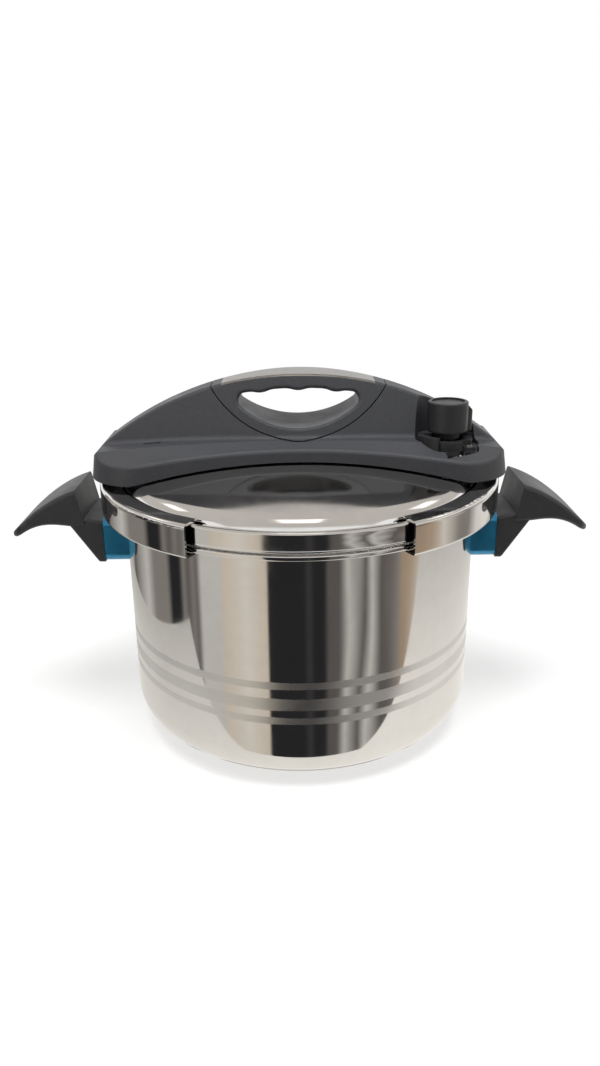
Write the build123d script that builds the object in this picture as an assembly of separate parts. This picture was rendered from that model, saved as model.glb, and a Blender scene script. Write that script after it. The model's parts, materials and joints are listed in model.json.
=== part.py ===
from build123d import *
import os
from math import cos, degrees, hypot, radians, sin, sqrt, tan

# A clamp-jaw pressure cooker on its base, +Z up, origin at the middle of the base.
# X runs from side handle to side handle, and the valve is on the front (-Y) right.
# All lengths are millimetres and all angles are degrees.

# Pot
POT_R = 121.0
POT_SHEET = 1.0
POT_RIM_TOP = 165.8
POT_CORNER_R = 22.0
POT_FLOOR = 6.0
RIM_FLARE = 9.5
RIM_BEAD_W = 3.6
RIM_BEAD_H = 3.8
RIM_BEND_R = 4.0
CAP_SHEET = 0.6
CAP_ANGLE = 35.0
CAP_EDGE_R = 6.0
CORE_MARGIN = 2.0

# Lid
LID_SHEET = 1.0
LID_OVERHANG = 0.3
LID_GAP = 1.4
LID_SKIRT_H = 12.3
LID_STEP_W = 13.8
LID_STEP_H = 4.5
LID_DOME_RISE = 13.0
LID_EDGE_BEND = 4.0
LID_GROOVE_W = 4.4
LID_GROOVE_D = 2.7
LID_LIP_R = 0.9
GASKET_W = 6.0
GASKET_LIP = 2.2
SEAL_PLAY = 0.1

# Clamp jaws and the cam that drives them
JAW_SHEET = 1.5
JAW_PLAY = 0.3
JAW_AIR = 4.2
JAW_HOOK = 3.5
JAW_SPAN = 122.0
JAW_TOP_BEND = 3.0
JAW_LOW_BEND = 2.2
JAW_PLATE_IN = 6.9
JAW_TRAVEL = 8.4
GRIP_LIFT = 12.0
ARM_W = 20.0
ARM_RISE = 5.7
ARM_AIR = 2.0
ARM_FLAT_IN = 50.0
ARM_FLAT_OUT = 80.0
ARM_BEND = 2.0
PIN_R = 2.0
PIN_X = 56.0
PIN_RISE = 17.4
PIN_LEN = 11.0
LUG_T = 2.5
LUG_W = 10.0
CAM_T = 2.0
CAM_PLAY = 0.6
CAM_EDGE = 3.0
CAM_NECK_IN = 8.7
CAM_NECK_RISE = 14.8
CAM_NECK_R = 4.5
CAM_AIR = 1.0
LUG_AIR = 2.0
SLOT_PLAY = 0.1
GUIDE_IN = 70.8
GUIDE_LEN = 6.0
GUIDE_WALL = 1.5
GUIDE_PLAY = 0.3
GUIDE_FOOT = 6.5

# Bridge beam and grip
BEAM_OVERHANG = 4.5
BEAM_MID_HALF = 45.0
BEAM_LOBE_HALF = 58.0
BEAM_LOBE_R = 34.0
BEAM_DRAFT = 8.0
BEAM_WALL = 3.0
BEAM_GAP = 1.0
LOBE_AIR = 2.7
SHELF_TUCK = 2.0
SHELF_OUT = 62.0
SHELF_DROP = 9.0
SHELF_SAG = 1.2
SHELF_ROUND = 3.0
LEDGE_RISE = 1.0
LEDGE_R = 1400.0
RIDGE_APEX = 33.5
RIDGE_NARROWING = 0.145
RIDGE_MID_R = 200.0
RIDGE_DRAFT = 17.0
RIDGE_FOOT_R = 4.0
RIDGE_ROUND = 2.5
SADDLE_RISE = 10.0
SADDLE_R = 68.6
SADDLE_PLAY = 0.8
ARCH_RISE = 51.5
ARCH_DROP = 53.0
ARCH_END_R = 28.0
RING_T = 6.6
HOLE_TOP_DROP = 9.0
HOLE_CORNER_R = 5.0
BUMP_COUNT = 3
BUMP_PITCH = 24.5
BUMP_DEPTH = 1.4
BUMP_R = 14.0
BUMP_BLEND = 18.0
HOLE_ROUND = 2.0
CORE_COVER = 2.2
CORE_FIT = 0.05
STRIP_T = 1.0
STRIP_HALF = 51.0
GRIP_SCREW_X = 49.5
GRIP_SCREW_DROP = 6.7
GRIP_SCREW_R = 1.5
GRIP_SCREW_SEAT = 6.0
GRIP_SCREW_DEPTH = 6.0
GRIP_HEAD_R = 2.6
GRIP_HEAD_T = 1.8
GRIP_HEAD_PLAY = 0.3
STUD_X = 22.0
STUD_R = 2.5
STUD_PAD_R = 6.0
STUD_NUT_ACROSS = 8.0
STUD_NUT_H = 2.8
STUD_SEAT_T = 2.4
STUD_FIT = 0.3
VENT_INSET = 43.0
VENT_LEN = 12.0
VENT_W = 2.5

# Working valve on the right and safety valve on the left
VALVE_INSET = 18.5
VALVE_Y = 21.0
SEAT_R = 9.8
SEAT_RISE = 1.2
STEM_R = 5.5
STEM_BORE_R = 2.5
STEM_FIT = 0.1
STEM_FLANGE_R = 8.2
STEM_FLANGE_T = 2.0
STEM_SHOULDER_RISE = 6.0
STEM_TOP_RISE = 12.9
STEM_NECK_R = 4.7
SPIGOT_R = 5.0
SPIGOT_DROP = 3.0
VALVE_GASKET_T = 1.6
NUT_ACROSS = 14.0
NUT_H = 4.5
PAD_RISE = 3.4
PAD_BACK = 12.0
RECESS_R = 21.0
KNOB_R = 13.2
KNOB_BASE_RISE = 10.6
KNOB_H = 19.8
KNOB_HUB_R = 8.2
KNOB_ROUND = 1.0
KNOB_RIM = 2.4
KNOB_DISH = 2.2
KNOB_CAP_T = 1.2
KNOB_WING_L = 19.2
KNOB_WING_W = 9.0
KNOB_WING_H = 12.0
KNOB_WING_FALL = 9.0
KNOB_WING_ANGLE = 30.0
KNOB_BEARING = 0.06
KNOB_SEAT = 0.3
COLLAR_IN_R = 10.5
COLLAR_R = 16.8
GUARD_IN_R = 16.2
GUARD_R = 20.4
COLLAR_H = 5.8
GUARD_H = 9.0
GUARD_FROM = 187.0
GUARD_SPAN = 58.0
NEEDLE_R = 2.3
NEEDLE_HEAD_R = 4.2
NEEDLE_HEAD_T = 3.0
NEEDLE_TIP = 4.0
NEEDLE_SHANK = 3.0
SPRING_R = 4.0
SPRING_BORE = 2.6
SPRING_LEN = 9.0
COIL_MARGIN = 0.3
FILTER_R = 6.2
FILTER_H = 7.0
FILTER_SHEET = 0.8
FILTER_HOLES = 6
FILTER_HOLE_R = 0.6
SAFETY_TOP_RISE = 9.0
SAFETY_ROOF = 1.2
SAFETY_CHAMBER_R = 4.2
SAFETY_VENT_R = 1.0
PISTON_R = 3.9
PISTON_T = 2.0
PISTON_TIP = 5.0

# Pressure indicator
INDICATOR_INSET = 6.0
INDICATOR_Y = 33.5
INDICATOR_R = 2.2
INDICATOR_FIT = 0.1
INDICATOR_FOOT_R = 3.0
INDICATOR_FOOT_T = 1.5
INDICATOR_LIFT = 4.0
INDICATOR_TOP_RISE = 1.0
BUSH_R = 3.2
BUSH_FLANGE_R = 6.6
BUSH_FLANGE_T = 1.2
BUSH_TOP_DROP = 0.4
BUSH_TAIL = 1.5
COVER_R = 4.2
COVER_T = 3.3
WINDOW_PLAY = 0.3
WINDOW_REACH = 15.5
WINDOW_FRONT = 14.0
WINDOW_SIDE = 7.5
WINDOW_SLANT = 0.8
WINDOW_DEPTH = 3.0

# Side handles
BRACKET_LEN = 14.5
BRACKET_H = 31.0
BRACKET_HALF = 24.0
BRACKET_SHEET = 1.2
BRACKET_ROUND = 6.0
BRACKET_TOP_DROP = 13.8
BRACKET_AIR = 0.05
BLOCK_HALF = 24.6
BLOCK_FOOT = 4.5
BLOCK_REACH = 25.5
BLOCK_SILL = 1.5
BLOCK_BROW = 0.4
BLOCK_CROWN = 4.0
WING_GAP = 2.6
WING_LEAN = 4.5
WING_TOP_RISE = 7.7
WING_REACH = 51.0
WING_DROP = 35.5
WING_SWELL = 5.0
WING_ROOT_DROP = 4.5
WING_ROOT_U = 0.22
WING_TIP_T = 5.5
WING_HOLLOW = 6.5
WING_HALF = 25.5
WING_STATIONS = 5
WING_SIDE_ROUND = 3.2
WING_TIP_BULGE = 10.0
WING_TIP_CORNER = 10.0
WING_TIP_ROUND = 1.8
BLOCK_ROUND = 2.0
PLUG_LEN = 8.0
PLUG_PLAY = 0.3
BOSS_R = 5.0
BOSS_LEN = 6.0
SIDE_SCREW_R = 2.5
SIDE_SCREW_GRIP = 4.0
SIDE_HEAD_R = 4.6
SIDE_HEAD_T = 3.0
SIDE_SCREW_FIT = 0.1
SIDE_SEAT_DEPTH = 6.0

# Levels and radii that follow from the sizes above
POT_IN_R = POT_R - POT_SHEET
RIM_R = POT_R + RIM_FLARE
RIM_LOW = POT_RIM_TOP - RIM_BEAD_H
LID_R = RIM_R + LID_OVERHANG
LID_LOW = POT_RIM_TOP + LID_GAP
LID_TOP = LID_LOW + LID_SKIRT_H
EDGE_R = LID_R - LID_STEP_W
EDGE_Z = LID_TOP + LID_STEP_H
CROWN_Z = EDGE_Z + LID_DOME_RISE
VALVE_X = EDGE_R - VALVE_INSET
INDICATOR_X = EDGE_R - INDICATOR_INSET
DOME_R = (EDGE_R**2 + LID_DOME_RISE**2) / (2 * LID_DOME_RISE)
JAW_R = LID_R + JAW_AIR + JAW_SHEET
JAW_LOW = RIM_LOW - JAW_PLAY - JAW_SHEET
JAW_TOP = LID_TOP + JAW_PLAY + JAW_SHEET
PLATE_LOW = JAW_TOP - JAW_SHEET
PLATE_IN_R = LID_R - JAW_PLATE_IN
RISER_X = PLATE_IN_R
ARM_FLAT_Z = CROWN_Z + ARM_AIR
ARM_LOW_Z = JAW_TOP + ARM_RISE
PIN_Z = CROWN_Z + PIN_RISE
SADDLE_Z = CROWN_Z + SADDLE_RISE
SADDLE_AXIS_Z = SADDLE_Z + SADDLE_R
LEDGE_Z = SADDLE_Z + LEDGE_RISE
ARCH_Z = CROWN_Z + ARCH_RISE
BEAM_HALF = JAW_R + BEAM_OVERHANG
ARCH_R = (BEAM_HALF**2 + ARCH_DROP**2) / (2 * ARCH_DROP)
LOBE_LOW = JAW_TOP + LOBE_AIR
PAD_Z = CROWN_Z + PAD_RISE
SHELF_IN = RIDGE_APEX - SHELF_TUCK
FORM_LOW = LOBE_LOW - BEAM_WALL
FORM_HIGH = ARCH_Z + RING_T
FAR = 2 * BEAM_HALF


def dome_z(radius, offset=0.0):
    """Height of the lid's dome, or of a surface a little above it, at a radius."""
    ball = DOME_R + offset
    return CROWN_Z - DOME_R + sqrt(ball**2 - radius**2)


SEAT_Z = dome_z(hypot(VALVE_X, VALVE_Y) - SEAT_R) + SEAT_RISE
STEM_TOP = PAD_Z + STEM_TOP_RISE
STEM_SHOULDER = PAD_Z + STEM_SHOULDER_RISE
GASKET_LOW = SEAT_Z - LID_SHEET - VALVE_GASKET_T
FLANGE_LOW = GASKET_LOW - STEM_FLANGE_T
SPIGOT_LOW = FLANGE_LOW - SPIGOT_DROP
SAFETY_TOP = SEAT_Z + SAFETY_TOP_RISE
BORE_TOP = STEM_TOP + NEEDLE_HEAD_T + SPRING_LEN
BUSH_TOP = PAD_Z - BUSH_TOP_DROP
BUSH_LOW = dome_z(hypot(INDICATOR_X, INDICATOR_Y) + BUSH_R) - LID_SHEET - BUSH_TAIL
BRACKET_TOP = POT_RIM_TOP - BRACKET_TOP_DROP
BRACKET_LOW = BRACKET_TOP - BRACKET_H
BRACKET_END = POT_R + BRACKET_LEN
WING_IN = JAW_R + JAW_TRAVEL + WING_GAP
WING_TOP = POT_RIM_TOP + WING_TOP_RISE
SCREW_Z = BRACKET_TOP - BRACKET_H / 2
KNOB_LOW = PAD_Z + KNOB_BASE_RISE
KNOB_TOP = KNOB_LOW + KNOB_H


def sheet(edges, thickness, side):
    """Face of a bent sheet whose one side follows a line of edges."""
    return make_face(offset(Wire(edges), thickness, side=side))


def spun(face):
    """Solid of revolution about the pot's axis; the face lies in radius and height."""
    return revolve(Plane.XZ * face, Axis.Z)


def along_y(face, half):
    """A face drawn in X and Z, extruded both ways along Y."""
    return extrude(Plane.XZ * face, amount=half, both=True)


def block(x, y, z):
    """A box between the low and high values given for each axis."""
    return Pos((x[0] + x[1]) / 2, (y[0] + y[1]) / 2, (z[0] + z[1]) / 2) * Box(
        x[1] - x[0], y[1] - y[0], z[1] - z[0]
    )


def rod(x, y, radius, low, high):
    """An upright cylinder between two heights."""
    return Pos(x, y, (low + high) / 2) * Cylinder(radius, high - low)


def outline(*edges):
    """Face inside a closed line of edges."""
    return make_face([edge for part in edges for edge in part.edges()])


def mirrored(part):
    """The same piece on the other side of the pot, across the YZ plane."""
    return mirror(part, Plane.YZ)


# Pot and base

def pot_body():
    """Drawn pot with a flared rim that ends in a rolled bead."""
    corner_r = POT_R - POT_CORNER_R
    bend_z = POT_RIM_TOP - POT_SHEET - RIM_BEND_R
    bead_in = RIM_R - RIM_BEAD_W
    floor = Line((0, POT_FLOOR), (corner_r, POT_FLOOR))
    corner = TangentArc(floor @ 1, (POT_R, POT_FLOOR + POT_CORNER_R), tangent=(1, 0))
    wall = Line(corner @ 1, (POT_R, bend_z))
    bend = TangentArc(wall @ 1, (POT_R + RIM_BEND_R, bend_z + RIM_BEND_R), tangent=(0, 1))
    flange = Line(bend @ 1, (bead_in + RIM_BEAD_W / 2, bend_z + RIM_BEND_R))
    skin = sheet([floor, corner, wall, bend, flange], POT_SHEET, Side.LEFT)
    bead = Pos(RIM_R - RIM_BEAD_W / 2, POT_RIM_TOP - RIM_BEAD_H / 2) * RectangleRounded(
        RIM_BEAD_W, RIM_BEAD_H, RIM_BEAD_W * 0.42
    )
    return spun(skin + bead)


def cap_line():
    """Outside of the base cap: flat, then a cone that meets the pot's rounded corner."""
    turn = radians(CAP_ANGLE)
    reach = POT_CORNER_R + CAP_SHEET
    seam_r = POT_R - POT_CORNER_R + reach * sin(turn)
    seam_z = POT_FLOOR + POT_CORNER_R - reach * cos(turn)
    foot_r = seam_r - seam_z / tan(turn)
    return (0, 0), (foot_r, 0), (seam_r, seam_z)


def base_cap():
    """Thin steel cap that encloses the heat-spreading core."""
    line = FilletPolyline(*cap_line(), radius=CAP_EDGE_R)
    return spun(sheet(line.edges(), CAP_SHEET, Side.LEFT))


def base_core():
    """Aluminium disc between the pot's floor and the cap."""
    foot_r = cap_line()[1][0] - CAP_EDGE_R
    top_r = POT_R - POT_CORNER_R
    return spun(
        make_face(
            Polyline(
                (0, CAP_SHEET),
                (foot_r, CAP_SHEET),
                (top_r, POT_FLOOR - CORE_MARGIN),
                (top_r, POT_FLOOR),
                (0, POT_FLOOR),
                close=True,
            )
        )
    )


# Lid

def lid_shell():
    """Pressed lid: dome, step, rim bead and skirt, with two flat valve seats."""
    near_edge = EDGE_R - LID_EDGE_BEND * 1.3
    groove_r = LID_R - LID_GROOVE_W
    dome = RadiusArc((0, CROWN_Z), (near_edge, dome_z(near_edge)), DOME_R)
    step = FilletPolyline(
        (near_edge, dome_z(near_edge)),
        (EDGE_R, EDGE_Z),
        (groove_r, LID_TOP - LID_GROOVE_D),
        (groove_r + LID_SHEET, LID_TOP),
        (LID_R, LID_TOP),
        (LID_R, LID_LOW + LID_LIP_R),
        radius=[LID_EDGE_BEND, 0.8, 1.2, 1.7],
    )
    skin = sheet([*dome.edges(), *step.edges()], LID_SHEET, Side.RIGHT)
    lip = Pos(LID_R - LID_LIP_R + LID_OVERHANG, LID_LOW + LID_LIP_R) * Circle(LID_LIP_R)
    shell = spun(skin + lip)
    for side in (-1, 1):
        x, y = side * VALVE_X, -VALVE_Y
        drum_low = dome_z(hypot(VALVE_X, VALVE_Y) + SEAT_R) - LID_SHEET
        drum = rod(x, y, SEAT_R, drum_low, SEAT_Z) - under_dome(-LID_SHEET)
        hollow = rod(x, y, SEAT_R - LID_SHEET, drum_low - SEAT_R, SEAT_Z - LID_SHEET)
        shell = shell + drum - hollow - rod(x, y, STEM_R + STEM_FIT, drum_low, SEAT_Z + SEAT_R)
    return shell - rod(INDICATOR_X, -INDICATOR_Y, BUSH_R + STEM_FIT, PLATE_LOW, CROWN_Z)


def under_dome(offset):
    """Everything below a surface at a fixed distance from the dome."""
    rim_r = EDGE_R + LID_STEP_W
    top = RadiusArc((0, CROWN_Z + offset), (rim_r, dome_z(rim_r, offset)), DOME_R + offset)
    sides = Polyline((rim_r, dome_z(rim_r, offset)), (rim_r, 0), (0, 0), (0, CROWN_Z + offset))
    return spun(outline(top, sides))


def lid_gasket():
    """Silicone ring between the lid's groove and the pot's rim."""
    low = POT_RIM_TOP + SEAL_PLAY
    top = LID_TOP - LID_GROOVE_D - 2 * LID_SHEET
    out_r = LID_R - LID_SHEET - SEAL_PLAY - LID_LIP_R
    in_r = out_r - GASKET_W
    return spun(
        make_face(
            Polyline(
                (in_r, low),
                (out_r, low),
                (out_r, top - GASKET_LIP),
                (out_r - GASKET_LIP, top),
                (in_r, top),
                (in_r - GASKET_LIP, low + GASKET_LIP),
                (in_r - GASKET_LIP, low),
                close=True,
            )
        )
    )


# Clamp jaws

def jaw():
    """Right jaw: a hooked steel band, a top plate and the forked arm under the beam."""
    hook_r = RIM_R - JAW_HOOK
    line = FilletPolyline(
        (hook_r, JAW_LOW),
        (JAW_R, JAW_LOW),
        (JAW_R, JAW_TOP),
        (PLATE_IN_R, JAW_TOP),
        radius=[JAW_LOW_BEND, JAW_TOP_BEND],
    )
    section = sheet(line.edges(), JAW_SHEET, Side.LEFT)
    band = revolve(Plane.XZ * section, Axis.Z, JAW_SPAN)
    band = Rot(0, 0, -JAW_SPAN / 2) * band
    arm_line = FilletPolyline(
        (RISER_X + LID_STEP_W / 2, PLATE_LOW),
        (RISER_X, PLATE_LOW),
        (RISER_X, ARM_LOW_Z),
        (ARM_FLAT_OUT, ARM_FLAT_Z),
        (ARM_FLAT_IN, ARM_FLAT_Z),
        radius=[ARM_BEND / 2, ARM_BEND, ARM_BEND],
    )
    arm = along_y(sheet(arm_line.edges(), JAW_SHEET, Side.RIGHT), ARM_W / 2)
    fork_half = CAM_T / 2 + CAM_PLAY
    lug_face = Pos(PIN_X, PIN_Z) * Circle(LUG_W / 2) + Pos(
        PIN_X, (PIN_Z + ARM_FLAT_Z) / 2
    ) * Rectangle(LUG_W, PIN_Z - ARM_FLAT_Z)
    lugs = along_y(lug_face, fork_half + LUG_T)
    slot = block(
        (ARM_FLAT_IN - LUG_W, ARM_FLAT_OUT - CAM_T),
        (-fork_half, fork_half),
        (ARM_FLAT_Z - LUG_W, PIN_Z + LUG_W),
    )
    return band + arm + lugs - slot - pin_rod(PIN_R)


def pin_rod(radius):
    """The cross pin's cylinder at rest."""
    return Pos(PIN_X, 0, PIN_Z) * Rot(90, 0, 0) * Cylinder(radius, PIN_LEN)


def jaw_guide():
    """Sleeve welded to the lid, in which the jaw's arm slides."""
    in_half = ARM_W / 2 + GUIDE_PLAY
    out_half = in_half + GUIDE_WALL
    floor = ARM_FLAT_Z - GUIDE_PLAY
    roof = ARM_FLAT_Z + JAW_SHEET + GUIDE_PLAY
    root = dome_z(GUIDE_IN + GUIDE_LEN) - out_half
    foot_half = out_half + GUIDE_FOOT
    x = (GUIDE_IN, GUIDE_IN + GUIDE_LEN)
    sleeve = block(x, (-out_half, out_half), (root, roof + GUIDE_WALL))
    sleeve -= block(x, (-in_half, in_half), (floor, roof))
    sleeve -= block(x, (-in_half, in_half), (root, floor - GUIDE_WALL))
    foot_top = dome_z(hypot(GUIDE_IN, in_half)) + GUIDE_WALL
    feet = block(x, (-foot_half, foot_half), (root, foot_top))
    feet -= block(x, (-in_half, in_half), (root, foot_top))
    return sleeve + feet - under_dome(SEAL_PLAY / 2)


# Bridge beam and grip

def arch_face(inset=0.0):
    """Side view of the beam's arched top, down to below the lid."""
    half = BEAM_HALF - inset
    radius = ARCH_R - inset
    crown = ARCH_Z - inset
    side_z = crown - radius + sqrt(radius**2 - half**2)
    top = RadiusArc((-half, side_z), (half, side_z), radius)
    legs = Polyline((half, side_z), (half, FORM_LOW), (-half, FORM_LOW), (-half, side_z))
    face = outline(top, legs)
    tops = face.vertices().sort_by(Axis.Y)[-2:]
    return fillet(tops, ARCH_END_R - inset)


def plan_face(inset=0.0):
    """Beam seen from above: narrow waist, two broad lobes and rounded ends."""
    half = BEAM_HALF - inset
    waist = BEAM_MID_HALF - inset
    lobe = BEAM_LOBE_HALF - inset
    end_x = sqrt(half**2 - lobe**2)
    front = ThreePointArc((-end_x, -lobe), (0, -waist), (end_x, -lobe))
    right = ThreePointArc((end_x, -lobe), (half, 0), (end_x, lobe))
    back = ThreePointArc((end_x, lobe), (0, waist), (-end_x, lobe))
    left = ThreePointArc((-end_x, lobe), (-half, 0), (-end_x, -lobe))
    face = outline(front, right, back, left)
    return fillet(face.vertices(), BEAM_LOBE_R - inset)


def ledge_face(drop=0.0):
    """Side view of all that lies under the ledge, which falls towards both ends of the beam."""
    radius = LEDGE_R - drop
    side_z = LEDGE_Z - LEDGE_R + sqrt(radius**2 - FAR**2)
    top = RadiusArc((-FAR, side_z), (FAR, side_z), radius)
    return outline(top, Polyline((FAR, side_z), (FAR, 0), (-FAR, 0), (-FAR, side_z)))


def roof_face(drop=0.0):
    """Cross-section under the shelf's hollow slopes, open upwards in the middle."""
    inner_z = LEDGE_Z - drop
    outer_z = inner_z - SHELF_DROP
    mid_y = (SHELF_IN + SHELF_OUT) / 2
    mid_z = (inner_z + outer_z) / 2 - SHELF_SAG
    return outline(
        ThreePointArc((SHELF_IN, inner_z), (mid_y, mid_z), (SHELF_OUT, outer_z)),
        Polyline((SHELF_OUT, outer_z), (SHELF_OUT, FORM_LOW), (-SHELF_OUT, FORM_LOW), (-SHELF_OUT, outer_z)),
        ThreePointArc((-SHELF_OUT, outer_z), (-mid_y, mid_z), (-SHELF_IN, inner_z)),
        Polyline((-SHELF_IN, inner_z), (-SHELF_IN, FORM_HIGH), (SHELF_IN, FORM_HIGH), (SHELF_IN, inner_z)),
    )


def roof(drop=0.0):
    """The roof's cross-section carried along the fall of the ledge."""
    reach = degrees(2 * FAR / LEDGE_R)
    axis = Axis((0, 0, LEDGE_Z - LEDGE_R), (0, 1, 0))
    return revolve((Plane.YZ * roof_face(drop)).rotate(axis, -reach / 2), axis, reach)


def plan_prism(high, inset=0.0):
    """The beam's plan as a block that leans in towards its top."""
    lean = (high - FORM_LOW) * tan(radians(BEAM_DRAFT))
    foot = Pos(0, 0, FORM_LOW) * plan_face(inset)
    return loft([foot, Pos(0, 0, high) * plan_face(inset + lean)], ruled=True)


def ridge_block():
    """Upper ridge of the beam on a wide plate, blended where they meet."""
    end_x = FAR / 2 + BEAM_LOBE_R
    end_y = RIDGE_APEX - RIDGE_NARROWING * end_x
    root_z = SADDLE_Z - SADDLE_RISE
    face = make_face(
        Polyline(
            (-end_x, -end_y),
            (0, -RIDGE_APEX),
            (end_x, -end_y),
            (end_x, end_y),
            (0, RIDGE_APEX),
            (-end_x, end_y),
            close=True,
        )
    )
    middles = [v for v in face.vertices() if abs(v.X) < end_y]
    face = fillet(middles, RIDGE_MID_R)
    ridge = extrude(Pos(0, 0, root_z) * face, amount=FORM_HIGH - root_z, taper=RIDGE_DRAFT)
    solid = along_y(ledge_face(), FAR) + ridge
    ledges = solid.faces().filter_by(GeomType.CYLINDER)
    ledges = [f for f in ledges if abs(f.radius - LEDGE_R) < SEAL_PLAY]
    foot = [e for f in ledges for e in f.edges() if abs(e.center().Y) < SHELF_IN]
    foot = [e for e in foot if abs(e.center().X) < end_x]
    return fillet(foot, RIDGE_FOOT_R)


def beam_form():
    """Outside of beam and grip together: lobed shelf, ridge and arched top, edges rounded."""
    form = ridge_block() & plan_prism(FORM_HIGH) & roof()
    form = form & along_y(arch_face(), FAR)
    arch = [f for f in form.faces().filter_by(GeomType.CYLINDER) if abs(f.radius - ARCH_R) < SEAL_PLAY]
    rims = [edge for face in arch for edge in face.edges()]
    crest = [e for e in rims if abs(e.center().Y) < RIDGE_APEX / 2 and e.center().Z > SADDLE_Z]
    crest = [e for e in crest if e.length > SADDLE_R / 2]
    form = fillet(crest, RIDGE_ROUND)
    slopes = form.faces().filter_by(GeomType.TORUS)
    brow = [e for f in slopes for e in f.edges() if abs(e.center().Y) > SHELF_IN + SHELF_ROUND]
    return fillet(brow, SHELF_ROUND)


def saddle_round(play):
    """Round pocket across the beam in which the grip sits."""
    return Pos(0, 0, SADDLE_AXIS_Z) * Rot(90, 0, 0) * Cylinder(SADDLE_R - play, FAR)


def lid_clearance():
    """Space the beam keeps free for the lid and for the jaws' plates."""
    return under_dome(BEAM_GAP) + rod(0, 0, FAR, 0, LOBE_LOW)


def cam_slot_path():
    """Rest and lifted place of the pin in the grip's cam slot, in X and Z."""
    return (PIN_X, PIN_Z), (PIN_X + JAW_TRAVEL, PIN_Z - GRIP_LIFT)


def cam_ear(lift=0.0, grow=0.0):
    """Outline of the right cam ear at a lift of the grip, in X and Z."""
    rest, lifted = cam_slot_path()
    neck = (PIN_X - CAM_NECK_IN, PIN_Z + CAM_NECK_RISE)
    ear_r = PIN_R + SLOT_PLAY + CAM_EDGE
    return Pos(0, lift) * (stadium(rest, lifted, ear_r + grow) + stadium(rest, neck, CAM_NECK_R + grow))


def stadium(start, finish, radius):
    """Face swept by a circle that moves from one point to another."""
    run = Vector(*finish) - Vector(*start)
    turn = Vector(1, 0).get_signed_angle(run, Vector(0, 0, 1))
    bar = Pos(*((Vector(*start) + Vector(*finish)) / 2)) * Rot(0, 0, turn) * Rectangle(run.length, 2 * radius)
    return bar + Pos(*start) * Circle(radius) + Pos(*finish) * Circle(radius)


def mechanism_space():
    """Room inside the right half of the beam for arm, lugs, pin and cam ear."""
    ear_end = PIN_X + PIN_R + SLOT_PLAY + CAM_EDGE + CAM_AIR
    slot = (-CAM_T / 2 - CAM_PLAY, CAM_T / 2 + CAM_PLAY)
    ear_top = PIN_Z + CAM_NECK_R
    room = block((SADDLE_R / 2, ear_end), slot, (FORM_LOW, ear_top + GRIP_LIFT))
    room += block((SADDLE_R / 2, ear_end + JAW_TRAVEL), slot, (FORM_LOW, ear_top))
    room += along_y(cam_ear(GRIP_LIFT, CAM_AIR), slot[1])
    lug_x = (PIN_X - LUG_W / 2 - LUG_AIR, PIN_X + LUG_W / 2 + JAW_TRAVEL + LUG_AIR)
    lug_y = (-PIN_LEN / 2 - CAM_AIR, PIN_LEN / 2 + CAM_AIR)
    return room + block(lug_x, lug_y, (FORM_LOW, PIN_Z + LUG_W / 2 + LUG_AIR))


def beam_hollow():
    """Inside of the beam, a wall thickness in from its outside."""
    hollow = plan_prism(SADDLE_Z, BEAM_WALL) & roof(BEAM_WALL) & along_y(ledge_face(BEAM_WALL), FAR)
    hollow = hollow & along_y(arch_face(BEAM_WALL), FAR)
    hollow = hollow & block((-FAR, FAR), (-FAR, FAR), (FORM_LOW, SADDLE_Z - BEAM_WALL))
    pad_low = PAD_Z - BEAM_WALL
    pad = rod(VALVE_X, -VALVE_Y, RECESS_R + BEAM_WALL / 2, pad_low, SADDLE_Z)
    pad &= block((0, FAR), (-FAR, -PAD_BACK + BEAM_WALL / 2), (pad_low, SADDLE_Z))
    space = mechanism_space()
    return hollow - pad + space + mirrored(space)


def valve_recess():
    """Round bay in the beam round the knob, lower in front than behind."""
    high = ARCH_Z
    back = rod(VALVE_X, -VALVE_Y, RECESS_R, SADDLE_Z, high)
    front = rod(VALVE_X, -VALVE_Y, RECESS_R, PAD_Z, high)
    return back + (front & block((0, FAR), (-FAR, -PAD_BACK), (PAD_Z, high)))


def window_face():
    """Sunk bay round the indicator: a disc drawn out to a corner at its left front."""
    x, y = INDICATOR_X, -INDICATOR_Y
    disc = Pos(x, y) * Circle(BUSH_FLANGE_R + WINDOW_PLAY)
    corner = Vector(x - WINDOW_REACH, y - WINDOW_FRONT)
    side = Line(corner, corner + Vector(-WINDOW_SLANT, WINDOW_SIDE))
    return make_hull([*disc.edges(), *side.edges()]) - Pos(VALVE_X, -VALVE_Y) * Circle(COLLAR_R)


def bridge_beam(form):
    """Moulded black beam that spans the lid and covers the clamp mechanism."""
    beam = form - saddle_round(0) - valve_recess() - beam_hollow() - lid_clearance()
    beam -= rod(VALVE_X, -VALVE_Y, STEM_R + STUD_FIT, SEAT_Z, ARCH_Z)
    beam -= rod(INDICATOR_X, -INDICATOR_Y, BUSH_FLANGE_R + WINDOW_PLAY, LOBE_LOW, ARCH_Z)
    for side in (-1, 1):
        seat_z = SADDLE_Z - BEAM_WALL + STUD_SEAT_T
        beam -= rod(side * STUD_X, 0, STUD_R + STUD_FIT, LOBE_LOW, ARCH_Z)
        beam -= rod(side * STUD_X, 0, STUD_NUT_ACROSS / sqrt(3) + STUD_FIT, seat_z, ARCH_Z)
    beam -= extrude(Pos(0, 0, BUSH_TOP - WINDOW_DEPTH) * window_face(), amount=ARCH_Z - BUSH_TOP)
    vent_x = VENT_INSET - BEAM_HALF
    vent_y = RIDGE_NARROWING * abs(vent_x) - RIDGE_APEX - VENT_W / 2
    beam -= block(
        (vent_x - VENT_LEN / 2, vent_x + VENT_LEN / 2),
        (vent_y - VENT_W / 2, vent_y + VENT_W / 2),
        (SADDLE_Z - 2 * BEAM_WALL, ARCH_Z),
    )
    return beam


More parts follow.
